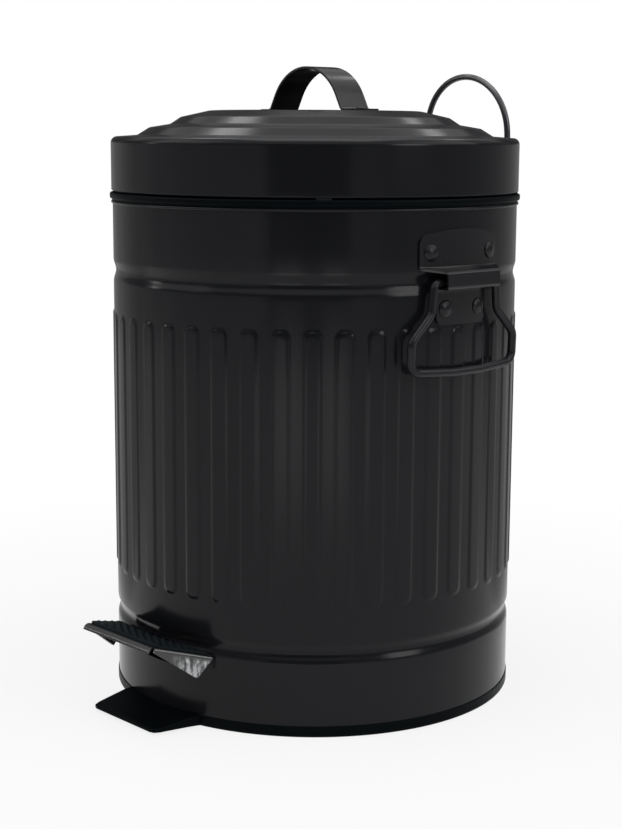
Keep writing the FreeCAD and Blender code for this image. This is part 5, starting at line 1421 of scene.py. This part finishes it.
class BIN_OT_bucket(Operator):
    """The inner bucket: its outline carried round Z, with the two bosses and the lug for the bail.
    In the rim's notch each point is drawn in along its radius by notch / y, which makes the notch's
    side flat."""
    bl_idname = "pedal_bin.bucket"
    bl_label = "Bucket"

    def execute(self, context):
        s = context.scene.bin_bucket
        top = s.rim_bottom + s.rim_thickness
        outline = rounded_line([
            ((0, s.bottom), 0), ((s.foot, s.bottom), s.foot_round),
            ((s.mouth, s.rim_bottom), s.rim_root), ((s.rim, s.rim_bottom), s.corner),
            ((s.rim, top), s.rim_thickness / 2), ((s.mouth - s.wall, top), s.rim_thickness / 2),
            ((s.foot - s.wall, s.bottom + s.floor), s.foot_round - s.wall),
            ((0, s.bottom + s.floor), 0)])
        points, faces = turned(outline, columns=224)
        in_rim = points[:, 2] > s.rim_bottom - 0.1 * MM
        cut = in_rim & (np.abs(points[:, 0]) < s.notch_half) & (points[:, 1] > s.notch_out)
        points[cut, :2] *= s.notch_out / points[cut, 1:2]
        skins = [(points, faces)]
        share = (s.pivot - s.bottom) / (s.rim_bottom - s.bottom)
        wall = s.foot + (s.mouth - s.foot) * share - s.wall / 2
        depth = wall - s.boss_tip
        boss = rounded_line([((0, 0), 0), ((s.boss, 0), s.corner), ((s.boss, depth), 0),
                             ((0, depth), 0)])
        boss = turned(boss, columns=40)
        skins += [moved(boss, (side * s.boss_tip, 0, s.pivot), (side, 0, 0)) for side in (-1, 1)]
        high = s.pivot - s.grip - s.lug_gap
        skins.append(bar((-s.lug_half, -wall, high - s.lug_height), (s.lug_half, -s.bow, high)))
        make_piece("inner_bucket_moulded", skins, "bucket", "moulded_grey",
                   ("inner_bucket",))
        return {"FINISHED"}


class BIN_OT_bucket_bail(Operator):
    """The bucket's bail: wire along a half circle with a small bend at each end, and the grip, a
    thicker round bar along the middle of the bow."""
    bl_idname = "pedal_bin.bucket_bail"
    bl_label = "Bucket bail"

    def execute(self, context):
        s = context.scene.bin_bucket
        bow = self.bow(s, np.linspace(0, -math.pi, 97))
        b = np.linspace(math.pi / 2, math.pi, 7)[:-1]
        bend = np.stack([s.bow + s.bend + s.bend * np.cos(b), s.bend * np.sin(b) - s.bend,
                         0 * b + s.pivot], -1)
        lead = np.array([[s.wire_end, 0, s.pivot]])
        line = np.concatenate([lead, bend, bow, (bend * (-1, 1, 1))[::-1], lead * (-1, 1, 1)])
        up = np.array([0, 0, 1.0])
        make_piece("bucket_bail_wire", [swept(line, s.wire, up, 20)], "bucket_bail", "plated_zinc",
                   ("bucket_bail",))
        line = self.bow(s, np.linspace(-0.5, 0.5, 49) * s.grip_arc - math.pi / 2)
        make_piece("bucket_grip_moulded", [swept(line, s.grip, up, 32)], "bucket_bail",
                   "grip_plastic", ("bucket_grip",))
        return {"FINISHED"}

    def bow(self, s, a):
        """Points of the bow: x = r cos a, y = r sin a - bend, at the pivots' height."""
        return np.stack([s.bow * np.cos(a), s.bow * np.sin(a) - s.bend, 0 * a + s.pivot], -1)


# Stage

def glowing(shader, colour_value, strength):
    """An emission of a colour and a strength."""
    return shader.node("ShaderNodeEmission", {}, {"Color": colour_value, "Strength": strength})


def stage_object(name, points, faces, shader):
    """An object of the stage with a shader's material."""
    mesh = bpy.data.meshes.new(name)
    mesh.from_pydata(points.reshape(-1, 3).tolist(), [], faces.tolist())
    mesh.materials.append(shader.owner)
    made = bpy.data.objects.new(name, mesh)
    bpy.context.scene.collection.objects.link(made)
    return made


def studio_card(name, centre, half, low_glow, high_glow, top=0.8, radius=1.5):
    """Upright card bent round the bin: x = radius cos a, y = radius sin a. Its brightness goes from
    the low value at a height of 0.28 m to the high value at 0.36 m."""
    a = centre + np.linspace(-half, half, 33)
    z = np.array([0.0, top])[:, None]
    points = np.stack([radius * np.cos(a) + 0 * z, radius * np.sin(a) + 0 * z, z + 0 * a], -1)
    shader = new_shader(name)
    height = shader.node("ShaderNodeSeparateXYZ", {}, {0: shader.place()}, "Z")
    glow = shader.mixed(height.step(0.28, 0.36), opaque((low_glow,) * 3), opaque((high_glow,) * 3))
    shader.node("ShaderNodeOutputMaterial", {}, {"Surface": glowing(shader, glow, 1.0)})
    panel = stage_object(name, points, grid_faces(2, 33), shader)
    panel.visible_camera = False


def floor_card(name, centre, half, near, far, glow, fade, soft):
    """Flat card just over the floor, seen only in the bin's gloss: x = r cos a, y = r sin a, from a
    near to a far distance. It fades in over a share of its length, and over an angle at its
    sides."""
    a = centre + np.linspace(-half, half, 17)
    r = np.array([near, far])[:, None]
    height = 0.004
    points = np.stack([r * np.cos(a), r * np.sin(a), height + 0 * r + 0 * a], -1)
    shader = new_shader(name)
    place = shader.place()
    out = shader.node("ShaderNodeVectorMath", {"operation": "LENGTH"}, {0: place}, "Value")
    ahead = (math.cos(centre), math.sin(centre), 0)
    along = shader.node("ShaderNodeVectorMath", {"operation": "DOT_PRODUCT"}, {0: place, 1: ahead},
                        "Value")
    from_sides = (along * out ** -1.0).step(math.cos(half), math.cos(half - soft))
    seen = out.step(near, near + fade * (far - near)) * from_sides
    clear = shader.node("ShaderNodeBsdfTransparent", {}, {})
    both = shader.node("ShaderNodeMixShader", {},
                       {0: seen, 1: clear, 2: glowing(shader, (1, 1, 1, 1), glow)})
    shader.node("ShaderNodeOutputMaterial", {}, {"Surface": both})
    card = stage_object(name, points, grid_faces(2, 17), shader)
    card.visible_camera = card.visible_diffuse = card.visible_shadow = False


def soft_lamp(name, place, target, size, watts):
    """Square area lamp that faces a point."""
    lamp = bpy.data.lights.new(name, "AREA")
    lamp.shape, lamp.size, lamp.energy = "SQUARE", size, watts
    holder = bpy.data.objects.new(name, lamp)
    holder.location = place
    holder.rotation_mode = "QUATERNION"
    holder.rotation_quaternion = (Vector(target) - Vector(place)).to_track_quat("-Z", "Y")
    bpy.context.scene.collection.objects.link(holder)


class BIN_OT_stage(Operator):
    """The camera, the pale floor, the surroundings and the soft studio light."""
    bl_idname = "pedal_bin.stage"
    bl_label = "Stage"

    def execute(self, context):
        s = context.scene.bin_stage
        self.add_camera(context, s)
        self.add_floor()
        self.add_surroundings(context, s)
        self.add_cards(s)
        self.add_lamps(s)
        context.scene.view_settings.view_transform = "Standard"
        return {"FINISHED"}

    def add_cards(self, s):
        """Cards round the bin. Each has its middle and its half width in degrees round from the
        camera's direction. An upright card also has its brightness below and above, its height and
        its distance; a floor card its near and far ends, its brightness, the share of its length
        and the degrees at its sides over which it fades in."""
        toward = s.azimuth - math.pi / 2
        side, upper, back, dark = s.side_glow, s.upper_glow, s.back_glow, s.dark_glow
        upright = {
            "right_card": (77.5, 59, side, upper, 0.8, 1.5),
            "left_card": (-84, 54, side * 1.2, upper, 0.8, 1.5),
            "left_middle_card": (-70, 40, side * 1.55, upper, 0.8, 1.49),
            "left_inner_card": (-57.5, 32.5, side * 1.9, upper, 0.8, 1.48),
            "right_inner_card": (27, 8.5, side * 1.5, upper, 0.8, 1.49),
            "dark_card": (-3.2, 21.8, dark, dark, 0.8, 1.5),
            "back_card": (179, 42.5, side, back, 1.0, 1.5),
            "high_back_card": (179, 75, upper * 3.5, upper * 3.5, 1.7, 1.6)}
        for name, (middle, half, *rest) in upright.items():
            studio_card(name, toward + math.radians(middle), math.radians(half), *rest)
        flat = {
            "left_floor_card": (-13.5, 8.5, 0.36, 1.6, s.floor_glow, 0.4, 3),
            "right_floor_card": (11, 7.5, 0.36, 1.6, s.floor_glow, 0.4, 3),
            "left_grey_card": (-137, 36, 0.12, 2.6, s.floor_shade, 0.06, 12),
            "right_grey_card": (137, 36, 0.12, 2.6, s.floor_shade, 0.06, 12)}
        for name, (middle, half, near, far, glow, fade, soft) in flat.items():
            floor_card(name, toward + math.radians(middle), math.radians(half), near, far, glow,
                       fade, math.radians(soft))

    def add_lamps(self, s):
        """Four small lamps that make the highlights, each with its direction from the bin as shares
        towards the camera, to its right and up, and its size in metres; and three large soft
        lamps, one overhead and one at each side."""
        toward = s.azimuth - math.pi / 2
        c, d = math.cos(toward), math.sin(toward)
        middle = (0, 0, 0.15)
        away = 1.3
        sparks = {"dome_lamp": ((-0.41, -0.28, 0.87), 0.2),
                  "dome_spark": ((-0.52, 0.35, 0.78), 0.12),
                  "flange_lamp": ((0.568, 0.725, 0.415), 0.4),
                  "nose_lamp": ((-0.14, -0.93, 0.34), 0.14)}
        for name, ((near, right, up), size) in sparks.items():
            place = (away * (near * c - right * d), away * (near * d + right * c), away * up)
            soft_lamp(name, place, middle, size, s.spark * math.pi * size ** 2)
        soft_lamp("top_lamp", (0.1 * c, 0.1 * d, 1.5), middle, 1.0, s.top_light)
        for name, turned_by in (("left_lamp", -1.4), ("right_lamp", 1.4)):
            place = (1.1 * math.cos(toward + turned_by), 1.1 * math.sin(toward + turned_by), 0.9)
            soft_lamp(name, place, middle, 0.9, s.side_light)

    def add_camera(self, context, s):
        """Camera at the photograph's place: its view runs in the azimuth's plane, pitched, yawed
        and rolled."""
        p, y, r, a = s.pitch, s.yaw, s.roll, s.azimuth
        ahead = np.array([math.sin(y) * math.cos(p), math.cos(y) * math.cos(p), -math.sin(p)])
        right = unit(np.cross(ahead, [0, 0, 1.0]))
        up = np.cross(right, ahead)
        right, up = right * math.cos(r) + up * math.sin(r), up * math.cos(r) - right * math.sin(r)
        c, d = math.cos(a), math.sin(a)
        turned_by = np.array([[c, -d, 0], [d, c, 0], [0, 0, 1]])
        place = turned_by @ np.array([0, -s.distance, s.eye])
        axes = turned_by @ np.stack([right, up, -ahead], -1)
        camera = bpy.data.objects.new("camera", bpy.data.cameras.new("camera"))
        camera.data.lens = s.lens
        camera.data.sensor_width = 36.0
        camera.data.sensor_fit = "AUTO"
        camera.matrix_world = Matrix.Translation(Vector(place)) @ Matrix(axes.tolist()).to_4x4()
        context.scene.collection.objects.link(camera)
        context.scene.camera = camera

    def add_floor(self):
        """Round floor, white to the eye far out and a lit pale surface near the bin, so that it
        keeps the shadow: the white share is 0.82 + 0.18 smoothstep of the distance from 0.15 m to
        0.5 m."""
        shader = new_shader("pale_floor")
        place = shader.node("ShaderNodeVectorMath", {"operation": "MULTIPLY"},
                            {0: shader.place(), 1: (1, 1, 0)})
        out = shader.node("ShaderNodeVectorMath", {"operation": "LENGTH"}, {0: place}, "Value")
        white = white_for_eye(shader, 0.82 + 0.18 * out.step(0.15, 0.5))
        tone = shader.mixed(shader.noise(60.0, 3.0), opaque((0.84,) * 3), opaque((0.88,) * 3))
        paper = shader.node("ShaderNodeBsdfDiffuse", {}, {"Color": tone})
        both = shader.node("ShaderNodeMixShader", {},
                           {0: white, 1: paper, 2: glowing(shader, (1, 1, 1, 1), 1.0)})
        shader.node("ShaderNodeOutputMaterial", {}, {"Surface": both})
        a = np.arange(96) * 2 * math.pi / 96
        r = np.array([0, 0.3, 1.0, 4.0])[:, None]
        below = 0.05 * MM
        points = np.stack([r * np.cos(a), r * np.sin(a), 0 * r + 0 * a - below], -1)
        stage_object("floor", points, grid_faces(4, 96, False, True), shader)

    def add_surroundings(self, context, s):
        """Surroundings, white to the eye and in gloss, and of the sky's level for diffuse light."""
        world = bpy.data.worlds.new("studio")
        context.scene.world = world
        shader = Shader(world)
        seen = white_for_eye(shader, 1.0)
        light = shader.node("ShaderNodeBackground", {},
                            {"Color": (1, 1, 1, 1), "Strength": seen + (1 - seen) * s.sky})
        shader.node("ShaderNodeOutputWorld", {}, {"Surface": light})


STEPS = [BIN_OT_stage, BIN_OT_finishes, BIN_OT_body, BIN_OT_base, BIN_OT_collar, BIN_OT_lid,
         BIN_OT_strap, BIN_OT_side_handles, BIN_OT_hinge, BIN_OT_rear_bail, BIN_OT_pedal,
         BIN_OT_pad, BIN_OT_bucket, BIN_OT_bucket_bail]


class BIN_PT_panel(Panel):
    """Lists the steps and their sizes in the 3D view's sidebar."""
    bl_idname = "BIN_PT_panel"
    bl_label = "Pedal bin"
    bl_space_type = "VIEW_3D"
    bl_region_type = "UI"
    bl_category = "Pedal bin"

    def draw(self, context):
        for step in STEPS:
            self.layout.operator(step.bl_idname)
        for name, group in GROUPS.items():
            box = self.layout.box()
            box.label(text=group.__name__)
            for key in group.__annotations__:
                box.prop(getattr(context.scene, name), key)


def register():
    for kind in [*GROUPS.values(), *STEPS, BIN_PT_panel]:
        bpy.utils.register_class(kind)
    for name, group in GROUPS.items():
        setattr(bpy.types.Scene, name, PointerProperty(type=group))


def unregister():
    for name in GROUPS:
        delattr(bpy.types.Scene, name)
    for kind in [BIN_PT_panel, *reversed(STEPS), *GROUPS.values()]:
        bpy.utils.unregister_class(kind)


def main():
    register()
    for step in STEPS:
        group, name = step.bl_idname.split(".")
        getattr(getattr(bpy.ops, group), name)()


if __name__ == "__main__":
    main()
